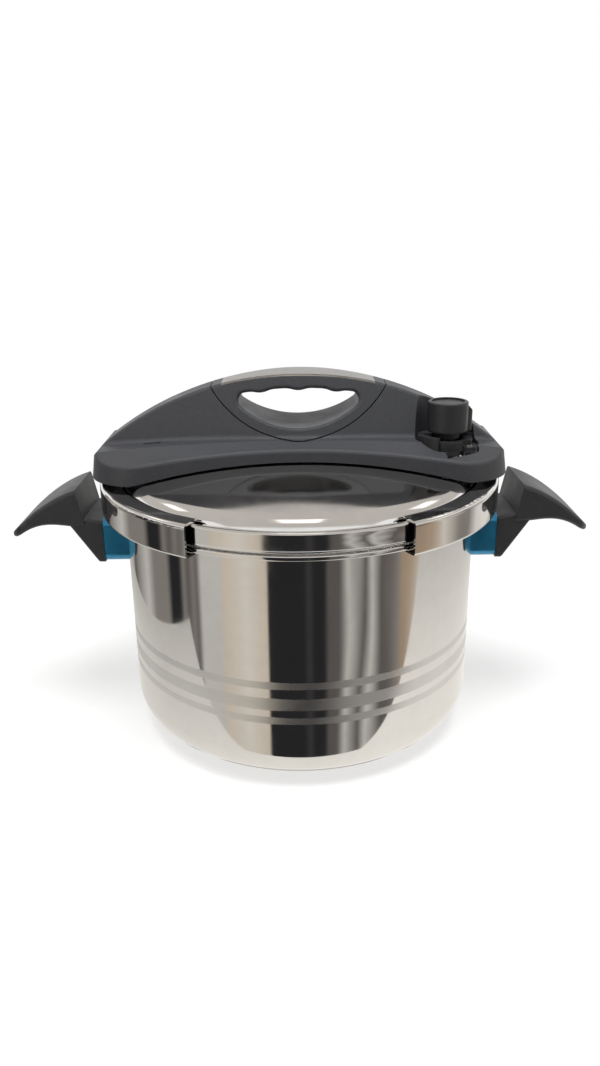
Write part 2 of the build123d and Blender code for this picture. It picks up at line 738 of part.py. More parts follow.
def beam_studs():
    """Two threaded studs welded to the top of the lid."""
    studs = []
    pad_top = SADDLE_Z - BEAM_WALL
    nut_top = pad_top + STUD_SEAT_T + STUD_NUT_H
    for side in (-1, 1):
        pad = rod(side * STUD_X, 0, STUD_PAD_R, dome_z(STUD_X + STUD_PAD_R) - STUD_R, pad_top)
        studs.append(pad - under_dome(0) + rod(side * STUD_X, 0, STUD_R, pad_top, nut_top))
    return Compound(children=studs)


def beam_nuts():
    """The nuts that hold the beam on its studs."""
    nuts = []
    low = SADDLE_Z - BEAM_WALL + STUD_SEAT_T
    for side in (-1, 1):
        nuts.append(hex_nut(side * STUD_X, 0, STUD_NUT_ACROSS, STUD_R, low, STUD_NUT_H))
    return Compound(children=nuts)


def hex_nut(x, y, across, bore_r, low, height):
    """A hexagon nut with its bore, standing at a height."""
    face = RegularPolygon(across / 2, 6, major_radius=False) - Circle(bore_r)
    return Pos(x, y, low) * extrude(face, amount=height)


def lens_face(grow=0.0):
    """Hand hole in the grip without its finger waves: a bowl under an arched top."""
    bowl = Pos(0, SADDLE_AXIS_Z) * Circle(SADDLE_R - SADDLE_PLAY - RING_T + grow)
    face = bowl & Pos(0, ARCH_Z - ARCH_R) * Circle(ARCH_R - HOLE_TOP_DROP + grow)
    return fillet(face.vertices(), HOLE_CORNER_R + grow)


def hole_face():
    """Hand hole in the grip, with finger waves along its arched top."""
    top_r = ARCH_R - HOLE_TOP_DROP
    face = lens_face()
    for index in range(BUMP_COUNT):
        turn = (index - (BUMP_COUNT - 1) / 2) * degrees(BUMP_PITCH / top_r)
        bump = Pos(0, ARCH_Z - ARCH_R) * Rot(0, 0, turn) * Pos(0, top_r - BUMP_DEPTH + BUMP_R)
        face -= bump * Circle(BUMP_R)
    reach = BUMP_PITCH * BUMP_COUNT / 2
    corners = [v for v in face.vertices() if abs(v.X) < reach and v.Y > ARCH_Z - 2 * HOLE_TOP_DROP]
    return fillet(corners, BUMP_BLEND)


def grip_body(form):
    """Both plastic halves of the grip as one solid, below the metal strip."""
    body = form & saddle_round(SADDLE_PLAY)
    body -= along_y(hole_face(), FAR)
    walls = [f for f in body.faces() if abs(f.normal_at().Y) < 0.001]
    walls = [f for f in walls if f.bounding_box().min.Z > SADDLE_Z + RING_T / 2]
    walls = [f for f in walls if f.bounding_box().max.Z < ARCH_Z - HOLE_TOP_DROP / 2]
    rims = [e for f in walls for e in f.edges() if abs(e.tangent_at(0.5).Y) < 0.9]
    return fillet(rims, HOLE_ROUND) - strip_zone(STRIP_T)


def strip_zone(thickness):
    """Band along the top of the arch that the metal strip fills."""
    band = Pos(0, ARCH_Z - ARCH_R) * (Circle(ARCH_R + RING_T) - Circle(ARCH_R - thickness))
    band &= Pos(0, ARCH_Z) * Rectangle(2 * STRIP_HALF, 4 * RING_T)
    return along_y(band, FAR)


def core_face(grow=0.0):
    """Side view of the grip's steel core: a ring round the hole and two cam ears."""
    ring = arch_face(STRIP_T + CORE_COVER - grow)
    ring &= Pos(0, SADDLE_AXIS_Z) * Circle(SADDLE_R - SADDLE_PLAY - CORE_COVER + grow)
    ear = cam_ear(grow=grow)
    face = ring + ear + mirror(ear, Plane.YZ)
    return face - lens_face(CORE_COVER - grow)


def grip_core():
    """Steel plate in the grip whose slanted slots drive the jaw pins."""
    rest, lifted = cam_slot_path()
    slot = stadium(rest, lifted, PIN_R + SLOT_PLAY)
    plate = along_y(core_face() - slot - mirror(slot, Plane.YZ), CAM_T / 2)
    for x in (-GRIP_SCREW_X, GRIP_SCREW_X):
        plate -= grip_screw_rod(x, GRIP_SCREW_R + CORE_FIT, -FAR, FAR)
    return plate


def grip_screw_z():
    """Height of the two screws that join the grip's halves."""
    return ARCH_Z - ARCH_R + sqrt(ARCH_R**2 - GRIP_SCREW_X**2) - GRIP_SCREW_DROP


def grip_screw_rod(x, radius, y_low, y_high):
    """A cylinder along Y on the axis of a grip screw."""
    return Pos(x, (y_low + y_high) / 2, grip_screw_z()) * Rot(90, 0, 0) * Cylinder(radius, y_high - y_low)


def grip_halves(form):
    """Front and rear plastic halves of the grip, pocketed for core and screws."""
    body = grip_body(form) - along_y(core_face(CORE_FIT), CAM_T / 2 + CORE_FIT)
    for x in (-GRIP_SCREW_X, GRIP_SCREW_X):
        body -= grip_screw_rod(x, GRIP_SCREW_R, -GRIP_SCREW_DEPTH, GRIP_SCREW_SEAT)
        body -= grip_screw_rod(x, GRIP_HEAD_R + GRIP_HEAD_PLAY, GRIP_SCREW_SEAT, FAR)
    low, high = LOBE_LOW, ARCH_Z + RING_T
    front = body & block((-FAR, FAR), (-FAR, 0), (low, high))
    rear = body & block((-FAR, FAR), (0, FAR), (low, high))
    return front, rear


def grip_strip(form):
    """Brushed metal strip let into the top of the grip."""
    return form & strip_zone(STRIP_T)


def grip_screws():
    """Two screws that go in from the rear of the grip."""
    screws = []
    for x in (-GRIP_SCREW_X, GRIP_SCREW_X):
        shank = grip_screw_rod(x, GRIP_SCREW_R, -GRIP_SCREW_DEPTH, GRIP_SCREW_SEAT)
        head = grip_screw_rod(x, GRIP_HEAD_R, GRIP_SCREW_SEAT, GRIP_SCREW_SEAT + GRIP_HEAD_T)
        screws.append(shank + head)
    return Compound(children=screws)


# Working valve

def valve_base(x, top):
    """Stem with its under-lid flange and spigot, bored through, up to a height."""
    y = -VALVE_Y
    stem = rod(x, y, STEM_R, GASKET_LOW, top) + rod(x, y, STEM_FLANGE_R, FLANGE_LOW, GASKET_LOW)
    stem += rod(x, y, SPIGOT_R, SPIGOT_LOW, FLANGE_LOW)
    return stem - rod(x, y, STEM_BORE_R, SPIGOT_LOW, top)


def valve_stem():
    """Steam outlet with a neck on which the knob turns."""
    neck = rod(VALVE_X, -VALVE_Y, STEM_NECK_R, STEM_SHOULDER, STEM_TOP)
    neck -= rod(VALVE_X, -VALVE_Y, STEM_BORE_R, STEM_SHOULDER, STEM_TOP)
    return valve_base(VALVE_X, STEM_SHOULDER) + neck


def seat_nut(x):
    """Nut that clamps a valve to the lid."""
    return hex_nut(x, -VALVE_Y, NUT_ACROSS, STEM_R, SEAT_Z, NUT_H)


def seat_gasket(x):
    """Silicone washer under the lid round a valve."""
    low, high = GASKET_LOW, SEAT_Z - LID_SHEET
    return rod(x, -VALVE_Y, STEM_FLANGE_R, low, high) - rod(x, -VALVE_Y, STEM_R, low, high)


def valve_filter():
    """Perforated cap over the lower end of the stem."""
    x, y = VALVE_X, -VALVE_Y
    low = FLANGE_LOW - FILTER_H
    cap = rod(x, y, FILTER_R, low, FLANGE_LOW) - rod(x, y, SPIGOT_R, low + FILTER_SHEET, FLANGE_LOW)
    for index in range(FILTER_HOLES):
        turn = radians(index * 360 / FILTER_HOLES)
        reach = SPIGOT_R / 2
        cap -= rod(x + reach * cos(turn), y + reach * sin(turn), FILTER_HOLE_R, low, low + FILTER_SHEET)
    return cap


def valve_collar():
    """Raised ring round the knob, higher along its left front."""
    x, y = VALVE_X, -VALVE_Y
    ring = rod(x, y, COLLAR_R, PAD_Z, PAD_Z + COLLAR_H)
    wedge = Polyline((0, 0), (FAR, 0), PolarLine((0, 0), FAR, GUARD_SPAN) @ 1, close=True)
    sector = Pos(x, y, PAD_Z) * Rot(0, 0, GUARD_FROM) * extrude(make_face(wedge), amount=GUARD_H)
    guard = rod(x, y, GUARD_R, PAD_Z, PAD_Z + GUARD_H) - rod(x, y, GUARD_IN_R, PAD_Z, PAD_Z + GUARD_H)
    ring += guard & sector
    ring -= rod(x, y, COLLAR_IN_R, PAD_Z, PAD_Z + GUARD_H)
    ring &= block((0, FAR), (-FAR, -PAD_BACK - BEAM_GAP), (PAD_Z, ARCH_Z))
    return ring - rod(INDICATOR_X, -INDICATOR_Y, COVER_R + WINDOW_PLAY, PAD_Z, ARCH_Z)


def valve_knob():
    """Pressure selector knob with a sloping wing at its back right."""
    body = fillet(Cylinder(KNOB_R, KNOB_H).edges(), KNOB_ROUND)
    body = Pos(VALVE_X, -VALVE_Y, KNOB_LOW + KNOB_H / 2) * body
    half = KNOB_WING_W / 2
    wing_face = make_face(
        Polyline(
            (0, KNOB_TOP - KNOB_WING_H - KNOB_WING_FALL),
            (KNOB_WING_L, KNOB_TOP - KNOB_WING_H - KNOB_WING_FALL),
            (KNOB_WING_L, KNOB_TOP - KNOB_WING_FALL),
            (KNOB_R - KNOB_RIM, KNOB_TOP - KNOB_ROUND),
            (0, KNOB_TOP - KNOB_ROUND),
            close=True,
        )
    )
    wing = along_y(wing_face, half)
    tips = wing.edges().filter_by(Axis.Z).group_by(Axis.X)[-1]
    wing = fillet(tips, half - KNOB_ROUND)
    knob = body + Pos(VALVE_X, -VALVE_Y) * Rot(0, 0, KNOB_WING_ANGLE) * wing
    hub_low = STEM_SHOULDER + KNOB_SEAT
    knob += rod(VALVE_X, -VALVE_Y, KNOB_HUB_R, hub_low, KNOB_LOW)
    knob -= rod(VALVE_X, -VALVE_Y, STEM_NECK_R + KNOB_BEARING, hub_low, BORE_TOP)
    return knob - rod(VALVE_X, -VALVE_Y, KNOB_R - KNOB_RIM, KNOB_TOP - KNOB_DISH, KNOB_TOP)


def knob_cap():
    """Round inlay in the dished top of the knob."""
    low = KNOB_TOP - KNOB_DISH
    return rod(VALVE_X, -VALVE_Y, KNOB_R - KNOB_RIM, low, low + KNOB_CAP_T)


def plunger(x, seat_z, head_r, head_t, tip):
    """Valve body: a tip that closes a bore, a head and a short spring guide."""
    head = rod(x, -VALVE_Y, head_r, seat_z, seat_z + head_t)
    guide = rod(x, -VALVE_Y, NEEDLE_R, seat_z + head_t, seat_z + head_t + NEEDLE_SHANK)
    return head + guide + rod(x, -VALVE_Y, NEEDLE_R, seat_z - tip, seat_z)


def coil_space(x, low, high):
    """Sleeve taken up by a small helical spring."""
    return rod(x, -VALVE_Y, SPRING_R - COIL_MARGIN, low, high) - rod(x, -VALVE_Y, SPRING_BORE, low, high)


# Pressure indicator

def indicator_bush():
    """Flanged bush that guides the indicator up through lid and beam."""
    x, y = INDICATOR_X, -INDICATOR_Y
    flange = rod(x, y, BUSH_FLANGE_R, BUSH_TOP - BUSH_FLANGE_T, BUSH_TOP)
    bush = rod(x, y, BUSH_R, BUSH_LOW, BUSH_TOP) + flange
    return bush - rod(x, y, INDICATOR_R + INDICATOR_FIT, BUSH_LOW, BUSH_TOP)


def indicator_cover():
    """Black sleeve on the bush round the indicator's tip."""
    x, y = INDICATOR_X, -INDICATOR_Y
    high = BUSH_TOP + COVER_T
    return rod(x, y, COVER_R, BUSH_TOP, high) - rod(x, y, INDICATOR_R + INDICATOR_FIT, BUSH_TOP, high)


def indicator_pin():
    """Pin that rises when there is pressure in the pot."""
    x, y = INDICATOR_X, -INDICATOR_Y
    foot_top = BUSH_LOW - INDICATOR_LIFT
    pin = rod(x, y, INDICATOR_R, foot_top, BUSH_TOP + COVER_T + INDICATOR_TOP_RISE)
    return pin + rod(x, y, INDICATOR_FOOT_R, foot_top - INDICATOR_FOOT_T, foot_top)


# Safety valve

def safety_body():
    """Closed valve body under the left end of the beam, with a vent in its top."""
    x, y = -VALVE_X, -VALVE_Y
    body = valve_base(x, SAFETY_TOP) + rod(x, y, STEM_R, SAFETY_TOP - SAFETY_ROOF, SAFETY_TOP)
    body -= rod(x, y, SAFETY_CHAMBER_R, SEAT_Z, SAFETY_TOP - SAFETY_ROOF)
    return body - rod(x, y, SAFETY_VENT_R, SEAT_Z, SAFETY_TOP)


# Side handles

def bracket():
    """Right flame guard: a coloured sleeve between pot and handle."""
    outer = RectangleRounded(2 * BRACKET_HALF, BRACKET_H, BRACKET_ROUND)
    inner = RectangleRounded(
        2 * (BRACKET_HALF - BRACKET_SHEET), BRACKET_H - 2 * BRACKET_SHEET, BRACKET_ROUND - BRACKET_SHEET
    )
    sleeve = extrude(Plane.YZ * Pos(0, SCREW_Z) * (outer - inner), amount=BRACKET_END)
    return sleeve - rod(0, 0, POT_R + BRACKET_AIR, 0, BRACKET_TOP + BRACKET_H)


def rod_x(radius, low, high):
    """A cylinder along X on the axis of the right handle's screw."""
    return Pos((low + high) / 2, 0, SCREW_Z) * Rot(0, 90, 0) * Cylinder(radius, high - low)


def handle_boss():
    """Threaded boss on the pot inside the right bracket."""
    end = POT_R + BOSS_LEN
    boss = rod_x(BOSS_R, POT_IN_R - BOSS_R, end) - rod(0, 0, POT_R + BRACKET_AIR, 0, BRACKET_TOP)
    return boss - rod_x(SIDE_SCREW_R, end - SIDE_SCREW_GRIP, end)


def side_screw_seat():
    """Where the screw's head rests inside the right handle."""
    slope = (BLOCK_REACH - BLOCK_FOOT) / (BRACKET_H + BLOCK_BROW)
    return BRACKET_END + BLOCK_FOOT + slope * BRACKET_H / 2 - SIDE_SEAT_DEPTH


def handle_screw():
    """Screw that holds the right handle on its boss."""
    seat = side_screw_seat()
    shank = rod_x(SIDE_SCREW_R, POT_R + BOSS_LEN - SIDE_SCREW_GRIP, seat)
    return shank + rod_x(SIDE_HEAD_R, seat, seat + SIDE_HEAD_T)


def wing_section(along):
    """Rounded cross-section of the wing; along is 0 at its inner top edge and 1 at its tip."""
    x = WING_IN + WING_LEAN + WING_REACH * along
    top = WING_TOP - WING_DROP * along + 4 * WING_SWELL * along * (1 - along)
    run = max(along - WING_ROOT_U, 0) / (1 - WING_ROOT_U)
    root_z = BRACKET_TOP - WING_ROOT_DROP
    tip_z = WING_TOP - WING_DROP - WING_TIP_T
    low = root_z + (tip_z - root_z) * run + 4 * WING_HOLLOW * run * (1 - run)
    height = top - low
    corner_r = min(WING_SIDE_ROUND, 0.45 * height)
    return Plane.YZ.offset(x) * Pos(0, low + height / 2) * RectangleRounded(2 * WING_HALF, height, corner_r)


def handle_wing():
    """Drooping wing of the right handle, with a rounded tip."""
    first = -WING_LEAN / WING_REACH
    stations = [first + (1 - first) * index / WING_STATIONS for index in range(WING_STATIONS + 1)]
    wing = loft([wing_section(along) for along in stations])
    end_x = WING_IN + WING_LEAN + WING_REACH
    shoulder_x = end_x - WING_TIP_BULGE
    side_y = WING_HALF + SEAL_PLAY
    plan = outline(
        Polyline((shoulder_x, -side_y), (0, -side_y), (0, side_y), (shoulder_x, side_y)),
        ThreePointArc((shoulder_x, side_y), (end_x, 0), (shoulder_x, -side_y)),
    )
    plan = fillet([v for v in plan.vertices() if v.X > WING_IN], WING_TIP_CORNER)
    wing = wing & extrude(plan, amount=2 * WING_TOP)
    tip_faces = wing.faces().filter_by(GeomType.CYLINDER)
    tip_edges = [e for f in tip_faces for e in f.edges() if abs(e.tangent_at(0.5).Z) < 0.8]
    wing = fillet(tip_edges, WING_TIP_ROUND)
    lean = make_face(
        Polyline(
            (0, BRACKET_LOW),
            (WING_IN, BRACKET_LOW),
            (WING_IN, BRACKET_TOP),
            (WING_IN + WING_LEAN, WING_TOP),
            (WING_IN + WING_LEAN, 2 * WING_TOP),
            (0, 2 * WING_TOP),
            close=True,
        )
    )
    return wing - along_y(lean, FAR)


def side_handle():
    """Right side handle: a block on the bracket and a drooping wing to hold."""
    foot_face = make_face(
        Polyline(
            (BRACKET_END, BRACKET_LOW),
            (BRACKET_END + BLOCK_FOOT, BRACKET_LOW),
            (BRACKET_END + BLOCK_REACH, BRACKET_TOP + BLOCK_BROW),
            (BRACKET_END + BLOCK_REACH, BRACKET_TOP + BLOCK_CROWN),
            (BRACKET_END, BRACKET_TOP - BLOCK_SILL),
            close=True,
        )
    )
    foot = along_y(foot_face, BLOCK_HALF)
    foot = fillet(foot.edges().filter_by(lambda e: e.center().X > BRACKET_END + SEAL_PLAY), BLOCK_ROUND)
    trim = 2 * (BRACKET_SHEET + PLUG_PLAY)
    plug_face = RectangleRounded(2 * BRACKET_HALF - trim, BRACKET_H - trim, BRACKET_ROUND - trim / 2)
    plug = Pos(BRACKET_END) * extrude(Plane.YZ * Pos(0, SCREW_Z) * plug_face, amount=-PLUG_LEN)
    handle = handle_wing() + foot + plug
    seat = side_screw_seat()
    handle -= rod_x(SIDE_SCREW_R + SIDE_SCREW_FIT, POT_R, seat)
    return handle - rod_x(SIDE_HEAD_R + PLUG_PLAY, seat, BRACKET_END + BLOCK_REACH)


def main():
    """Build each piece and write it to its own file."""
    right_jaw = jaw()
    right_guide = jaw_guide()
    right_pin = chamfer(pin_rod(PIN_R).edges(), PIN_R / 8)
    right_bracket = bracket()
    right_handle = side_handle()
    right_boss = handle_boss()
    right_screw = handle_screw()
    form = beam_form()
    grip_front, grip_rear = grip_halves(form)
    needle_top = STEM_TOP + NEEDLE_HEAD_T
    piston_top = SEAT_Z + PISTON_T
    pieces = {
        "pot_body": pot_body(),
        "base_core": base_core(),
        "base_cap": base_cap(),
        "lid_shell": lid_shell(),
        "lid_gasket": lid_gasket(),
        "right_jaw": right_jaw,
        "left_jaw": mirrored(right_jaw),
        "right_jaw_pin": right_pin,
        "left_jaw_pin": mirrored(right_pin),
        "right_jaw_guide": right_guide,
        "left_jaw_guide": mirrored(right_guide),
        "bridge_beam": bridge_beam(form),
        "beam_studs": beam_studs(),
        "beam_nuts": beam_nuts(),
        "grip_front": grip_front,
        "grip_rear": grip_rear,
        "grip_core": grip_core(),
        "grip_strip": grip_strip(form),
        "grip_screws": grip_screws(),
        "valve_stem": valve_stem(),
        "valve_nut": seat_nut(VALVE_X),
        "valve_gasket": seat_gasket(VALVE_X),
        "valve_filter": valve_filter(),
        "valve_collar": valve_collar(),
        "valve_knob": valve_knob(),
        "knob_cap": knob_cap(),
        "valve_needle": plunger(VALVE_X, STEM_TOP, NEEDLE_HEAD_R, NEEDLE_HEAD_T, NEEDLE_TIP),
        "valve_spring": coil_space(VALVE_X, needle_top, BORE_TOP),
        "indicator_bush": indicator_bush(),
        "indicator_cover": indicator_cover(),
        "indicator_pin": indicator_pin(),
        "safety_body": safety_body(),
        "safety_nut": seat_nut(-VALVE_X),
        "safety_gasket": seat_gasket(-VALVE_X),
        "safety_piston": plunger(-VALVE_X, SEAT_Z, PISTON_R, PISTON_T, PISTON_TIP),
        "safety_spring": coil_space(-VALVE_X, piston_top, SAFETY_TOP - SAFETY_ROOF),
        "right_bracket": right_bracket,
        "left_bracket": mirrored(right_bracket),
        "right_side_handle": right_handle,
        "left_side_handle": mirrored(right_handle),
        "handle_bosses": Compound(children=[right_boss, mirrored(right_boss)]),
        "handle_screws": Compound(children=[right_screw, mirrored(right_screw)]),
    }
    os.makedirs("parts", exist_ok=True)
    for name, piece in pieces.items():
        export_step(piece, f"parts/{name}.step")


if __name__ == "__main__":
    main()
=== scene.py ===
"""Looks of a clamp-jaw pressure cooker: finishes, coil springs, screws, studio and camera."""

import json
import logging
from dataclasses import dataclass, field
from enum import Enum
from math import asin, ceil, cos, degrees, dist, pi, radians, sin, tau
from typing import Any

import bmesh
import bpy
from mathutils import Euler, Matrix, Vector

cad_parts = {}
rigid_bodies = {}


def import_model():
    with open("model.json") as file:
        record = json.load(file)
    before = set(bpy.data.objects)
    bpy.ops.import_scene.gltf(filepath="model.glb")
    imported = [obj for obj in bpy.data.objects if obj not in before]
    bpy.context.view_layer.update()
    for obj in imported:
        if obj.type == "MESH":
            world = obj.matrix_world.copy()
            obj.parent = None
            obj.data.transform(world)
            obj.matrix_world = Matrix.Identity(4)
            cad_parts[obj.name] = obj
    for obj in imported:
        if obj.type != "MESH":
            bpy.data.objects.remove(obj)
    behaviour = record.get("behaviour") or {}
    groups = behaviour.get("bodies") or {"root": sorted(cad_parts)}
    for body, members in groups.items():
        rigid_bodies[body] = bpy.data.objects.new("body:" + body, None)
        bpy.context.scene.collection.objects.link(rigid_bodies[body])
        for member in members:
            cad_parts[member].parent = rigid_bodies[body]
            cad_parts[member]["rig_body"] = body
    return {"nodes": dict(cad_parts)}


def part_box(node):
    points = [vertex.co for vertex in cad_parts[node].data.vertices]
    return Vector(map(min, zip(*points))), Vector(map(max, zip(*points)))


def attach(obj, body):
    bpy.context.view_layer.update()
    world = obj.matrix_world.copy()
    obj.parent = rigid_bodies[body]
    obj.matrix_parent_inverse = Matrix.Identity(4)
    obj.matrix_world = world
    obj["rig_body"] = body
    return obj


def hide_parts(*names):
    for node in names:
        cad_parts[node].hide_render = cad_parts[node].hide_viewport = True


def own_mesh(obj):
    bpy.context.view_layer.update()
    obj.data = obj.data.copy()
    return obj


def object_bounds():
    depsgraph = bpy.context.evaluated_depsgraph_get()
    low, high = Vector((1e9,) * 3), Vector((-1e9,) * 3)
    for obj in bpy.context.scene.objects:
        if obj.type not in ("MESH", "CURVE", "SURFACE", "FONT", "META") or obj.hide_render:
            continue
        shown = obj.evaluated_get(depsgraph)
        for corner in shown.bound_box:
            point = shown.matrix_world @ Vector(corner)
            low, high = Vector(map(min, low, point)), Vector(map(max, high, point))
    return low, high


LOG = logging.getLogger("cooker")
Colour = tuple[float, float, float]
Point = tuple[float, float, float]

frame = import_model()
CAD_BOX = [list(corner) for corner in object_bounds()]


class Slot(Enum):
    """Material slots of the record."""

    POLISHED = "polished_steel"
    STEEL = "steel_parts"
    STRIP = "brushed_strip"
    PLASTIC = "black_plastic"
    BLUE = "blue_metal"
    ALUMINIUM = "core_aluminium"
    SILICONE = "silicone"


class Axis(Enum):
    """Row-frame directions that a grain or a screw can follow."""

    X = (1.0, 0.0, 0.0)
    Y = (0.0, 1.0, 0.0)
    Z = (0.0, 0.0, 1.0)


# Node helpers


class Board:
    """Adds and joins the nodes of one node tree."""

    def __init__(self, tree: bpy.types.NodeTree) -> None:
        """Keep the tree that nodes are added to."""
        self.tree = tree

    def feed(self, socket: bpy.types.NodeSocket, value: Any) -> None:
        """Link an output to a socket, or set the socket's own value.

        Args:
            socket: Input to fill.
            value: An output socket, or a plain value.
        """
        if isinstance(value, bpy.types.NodeSocket):
            self.tree.links.new(value, socket)
        else:
            socket.default_value = value

    def add(self, kind: str, inputs: dict[Any, Any] | None = None, **settings: Any) -> bpy.types.Node:
        """Add a node.

        Args:
            kind: Blender's node type.
            inputs: Values or outputs by input name or index.
            **settings: Properties of the node.

        Returns:
            The new node.
        """
        node = self.tree.nodes.new(kind)
        for name, value in settings.items():
            setattr(node, name, value)
        for key, value in (inputs or {}).items():
            self.feed(node.inputs[key], value)
        return node

    def math(self, operation: str, first: Any, second: Any = 0.0) -> bpy.types.NodeSocket:
        """Output of one math node on two values."""
        return self.add("ShaderNodeMath", {0: first, 1: second}, operation=operation).outputs[0]

    def span(
        self, value: Any, low: float, high: float, start: Any = 0.0, end: Any = 1.0
    ) -> bpy.types.NodeSocket:
        """Map a value from one range to another, held at its ends.

        Args:
            value: Socket to map.
            low: Value that gives start.
            high: Value that gives end.
            start: Result at low.
            end: Result at high.

        Returns:
            The mapped value.
        """
        return self.add("ShaderNodeMapRange", {0: value, 1: low, 2: high, 3: start, 4: end}).outputs[0]

    def blend(self, share: Any, first: Any, second: Any) -> bpy.types.NodeSocket:
        """Mix two colours by a share."""
        node = self.add("ShaderNodeMix", data_type="RGBA")
        for key, value in ((0, share), (6, first), (7, second)):
            self.feed(node.inputs[key], value)
        return node.outputs[2]

    def noise(self, where: Any, scale: Any, detail: float = 2.0) -> bpy.types.NodeSocket:
        """Value of a noise texture."""
        return self.add("ShaderNodeTexNoise", {"Vector": where, "Scale": scale, "Detail": detail}).outputs[0]

    def stretch(self, where: Any, scale: Point) -> bpy.types.NodeSocket:
        """Coordinates scaled apart along the three axes."""
        return self.add("ShaderNodeMapping", {"Vector": where, "Scale": scale}).outputs[0]


def opaque(colour: Colour) -> tuple[float, float, float, float]:
    """The colour with full alpha."""
    return (*colour, 1.0)


class Effects:
    """Shader node groups that several finishes share."""

    def __init__(self) -> None:
        """Build each group once."""
        self.smudge = self.make_smudge()
        self.grain = self.make_grain()
        self.lines = self.make_lines()
        self.band = self.make_band()

    @staticmethod
    def new_group(name: str, inputs: dict[str, float | None], outputs: list[str]) -> tuple[Board, Any, Any]:
        """Start a node group.

        Args:
            name: Name of the group.
            inputs: Input names with their defaults, None for a vector.
            outputs: Names of its value outputs.

        Returns:
            The board, the group's input node and its output node.
        """
        tree = bpy.data.node_groups.new(name, "ShaderNodeTree")
        for label, value in inputs.items():
            kind = "NodeSocketVector" if value is None else "NodeSocketFloat"
            socket = tree.interface.new_socket(label, in_out="INPUT", socket_type=kind)
            if value is not None:
                socket.default_value = value
        for label in outputs:
            tree.interface.new_socket(label, in_out="OUTPUT", socket_type="NodeSocketFloat")
        board = Board(tree)
        return board, board.add("NodeGroupInput"), board.add("NodeGroupOutput")

    def make_smudge(self) -> bpy.types.NodeTree:
        """Soft uneven patches left by handling, from 0 to 1."""
        board, given, result = self.new_group("handling smudges", {"Where": None, "Scale": 30.0}, ["Patch"])
        broad = board.noise(given.outputs["Where"], given.outputs["Scale"], 3.0)
        fine = board.noise(given.outputs["Where"], board.math("MULTIPLY", given.outputs["Scale"], 5.3), 4.0)
        both = board.math("ADD", board.math("MULTIPLY", broad, 0.7), board.math("MULTIPLY", fine, 0.3))
        board.feed(result.inputs["Patch"], board.span(both, 0.38, 0.64))
        return board.tree

    def make_grain(self) -> bpy.types.NodeTree:
        """Fine pebbled texture of a moulded surface, as a height and a tone."""
        sizes = {"Where": None, "Scale": 1500.0}
        board, given, result = self.new_group("moulded grain", sizes, ["Height", "Tone"])
        cells = board.add(
            "ShaderNodeTexVoronoi",
            {"Vector": given.outputs["Where"], "Scale": given.outputs["Scale"], "Randomness": 1.0},
            feature="SMOOTH_F1",
        )
        speck = board.noise(given.outputs["Where"], board.math("MULTIPLY", given.outputs["Scale"], 0.45), 3.0)
        height = board.math("ADD", cells.outputs["Distance"], board.math("MULTIPLY", speck, 0.6))
        board.feed(result.inputs["Height"], height)
        board.feed(result.inputs["Tone"], board.span(speck, 0.3, 0.7))
        return board.tree

    def make_lines(self) -> bpy.types.NodeTree:
        """Fine lines of brushing, along the axis that the coordinates are stretched on."""
        board, given, result = self.new_group("brushed lines", {"Where": None, "Scale": 900.0}, ["Line"])
        fine = board.noise(given.outputs["Where"], given.outputs["Scale"], 2.0)
        broad = board.noise(given.outputs["Where"], board.math("MULTIPLY", given.outputs["Scale"], 0.31), 2.0)
        board.feed(result.inputs["Line"], board.math("MULTIPLY", board.math("ADD", fine, broad), 0.5))
        return board.tree

    def make_band(self) -> bpy.types.NodeTree:
        """Soft-edged level band round an upright piece, from 0 to 1."""
        sizes = {"Height": 0.0, "Middle": 0.0, "Half": 0.003, "Edge": 0.0004}
        board, given, result = self.new_group("level band", sizes, ["Share"])
        off = board.math("SUBTRACT", given.outputs["Height"], given.outputs["Middle"])
        away = board.math("ABSOLUTE", off)
        inside = board.math("SUBTRACT", given.outputs["Half"], away)
        share = board.math("DIVIDE", inside, given.outputs["Edge"])
        board.feed(result.inputs["Share"], board.span(share, -1.0, 1.0))
        return board.tree


class Painter:
    """Board of one material, with its shader and Object coordinates."""

    def __init__(self, name: str, effects: Effects) -> None:
        """Create the material and its fixed nodes.

        Args:
            name: Name of the material.
            effects: Shared node groups.
        """
        self.material = bpy.data.materials.new(name)
        self.material.use_nodes = True
        tree = self.material.node_tree
        tree.nodes.clear()
        self.board = Board(tree)
        self.effects = effects
        self.shader = self.board.add("ShaderNodeBsdfPrincipled")
        self.board.add("ShaderNodeOutputMaterial", {"Surface": self.shader.outputs[0]})
        self.where = self.board.add("ShaderNodeTexCoord").outputs["Object"]

    def effect(self, tree: bpy.types.NodeTree, inputs: dict[str, Any]) -> bpy.types.Node:
        """Place a shared group with this material's own values."""
        node = self.board.add("ShaderNodeGroup", node_tree=tree)
        for name, value in inputs.items():
            self.board.feed(node.inputs[name], value)
        return node

    def smudge(self, scale: float) -> bpy.types.NodeSocket:
        """Patches of handling at a scale."""
        return self.effect(self.effects.smudge, {"Where": self.where, "Scale": scale}).outputs["Patch"]

    def lines(self, stretch: Point, scale: float) -> bpy.types.NodeSocket:
        """Brushed lines on stretched coordinates."""
        where = self.board.stretch(self.where, stretch)
        return self.effect(self.effects.lines, {"Where": where, "Scale": scale}).outputs["Line"]

    def finish(self, **values: Any) -> bpy.types.Material:
        """Fill the shader's sockets.

        Args:
            **values: Value or output for each socket, spaces written as underscores.

        Returns:
            The finished material.
        """
        for name, value in values.items():
            self.board.feed(self.shader.inputs[name.replace("_", " ")], value)
        return self.material

    def bump(self, height: Any, strength: float, depth: float) -> bpy.types.NodeSocket:
        """Normal of a bump.

        Args:
            height: Height output.
            strength: Strength of the bump.
            depth: Depth in metres.

        Returns:
            The bumped normal.
        """
        inputs = {"Height": height, "Strength": strength, "Distance": depth}
        return self.board.add("ShaderNodeBump", inputs).outputs[0]


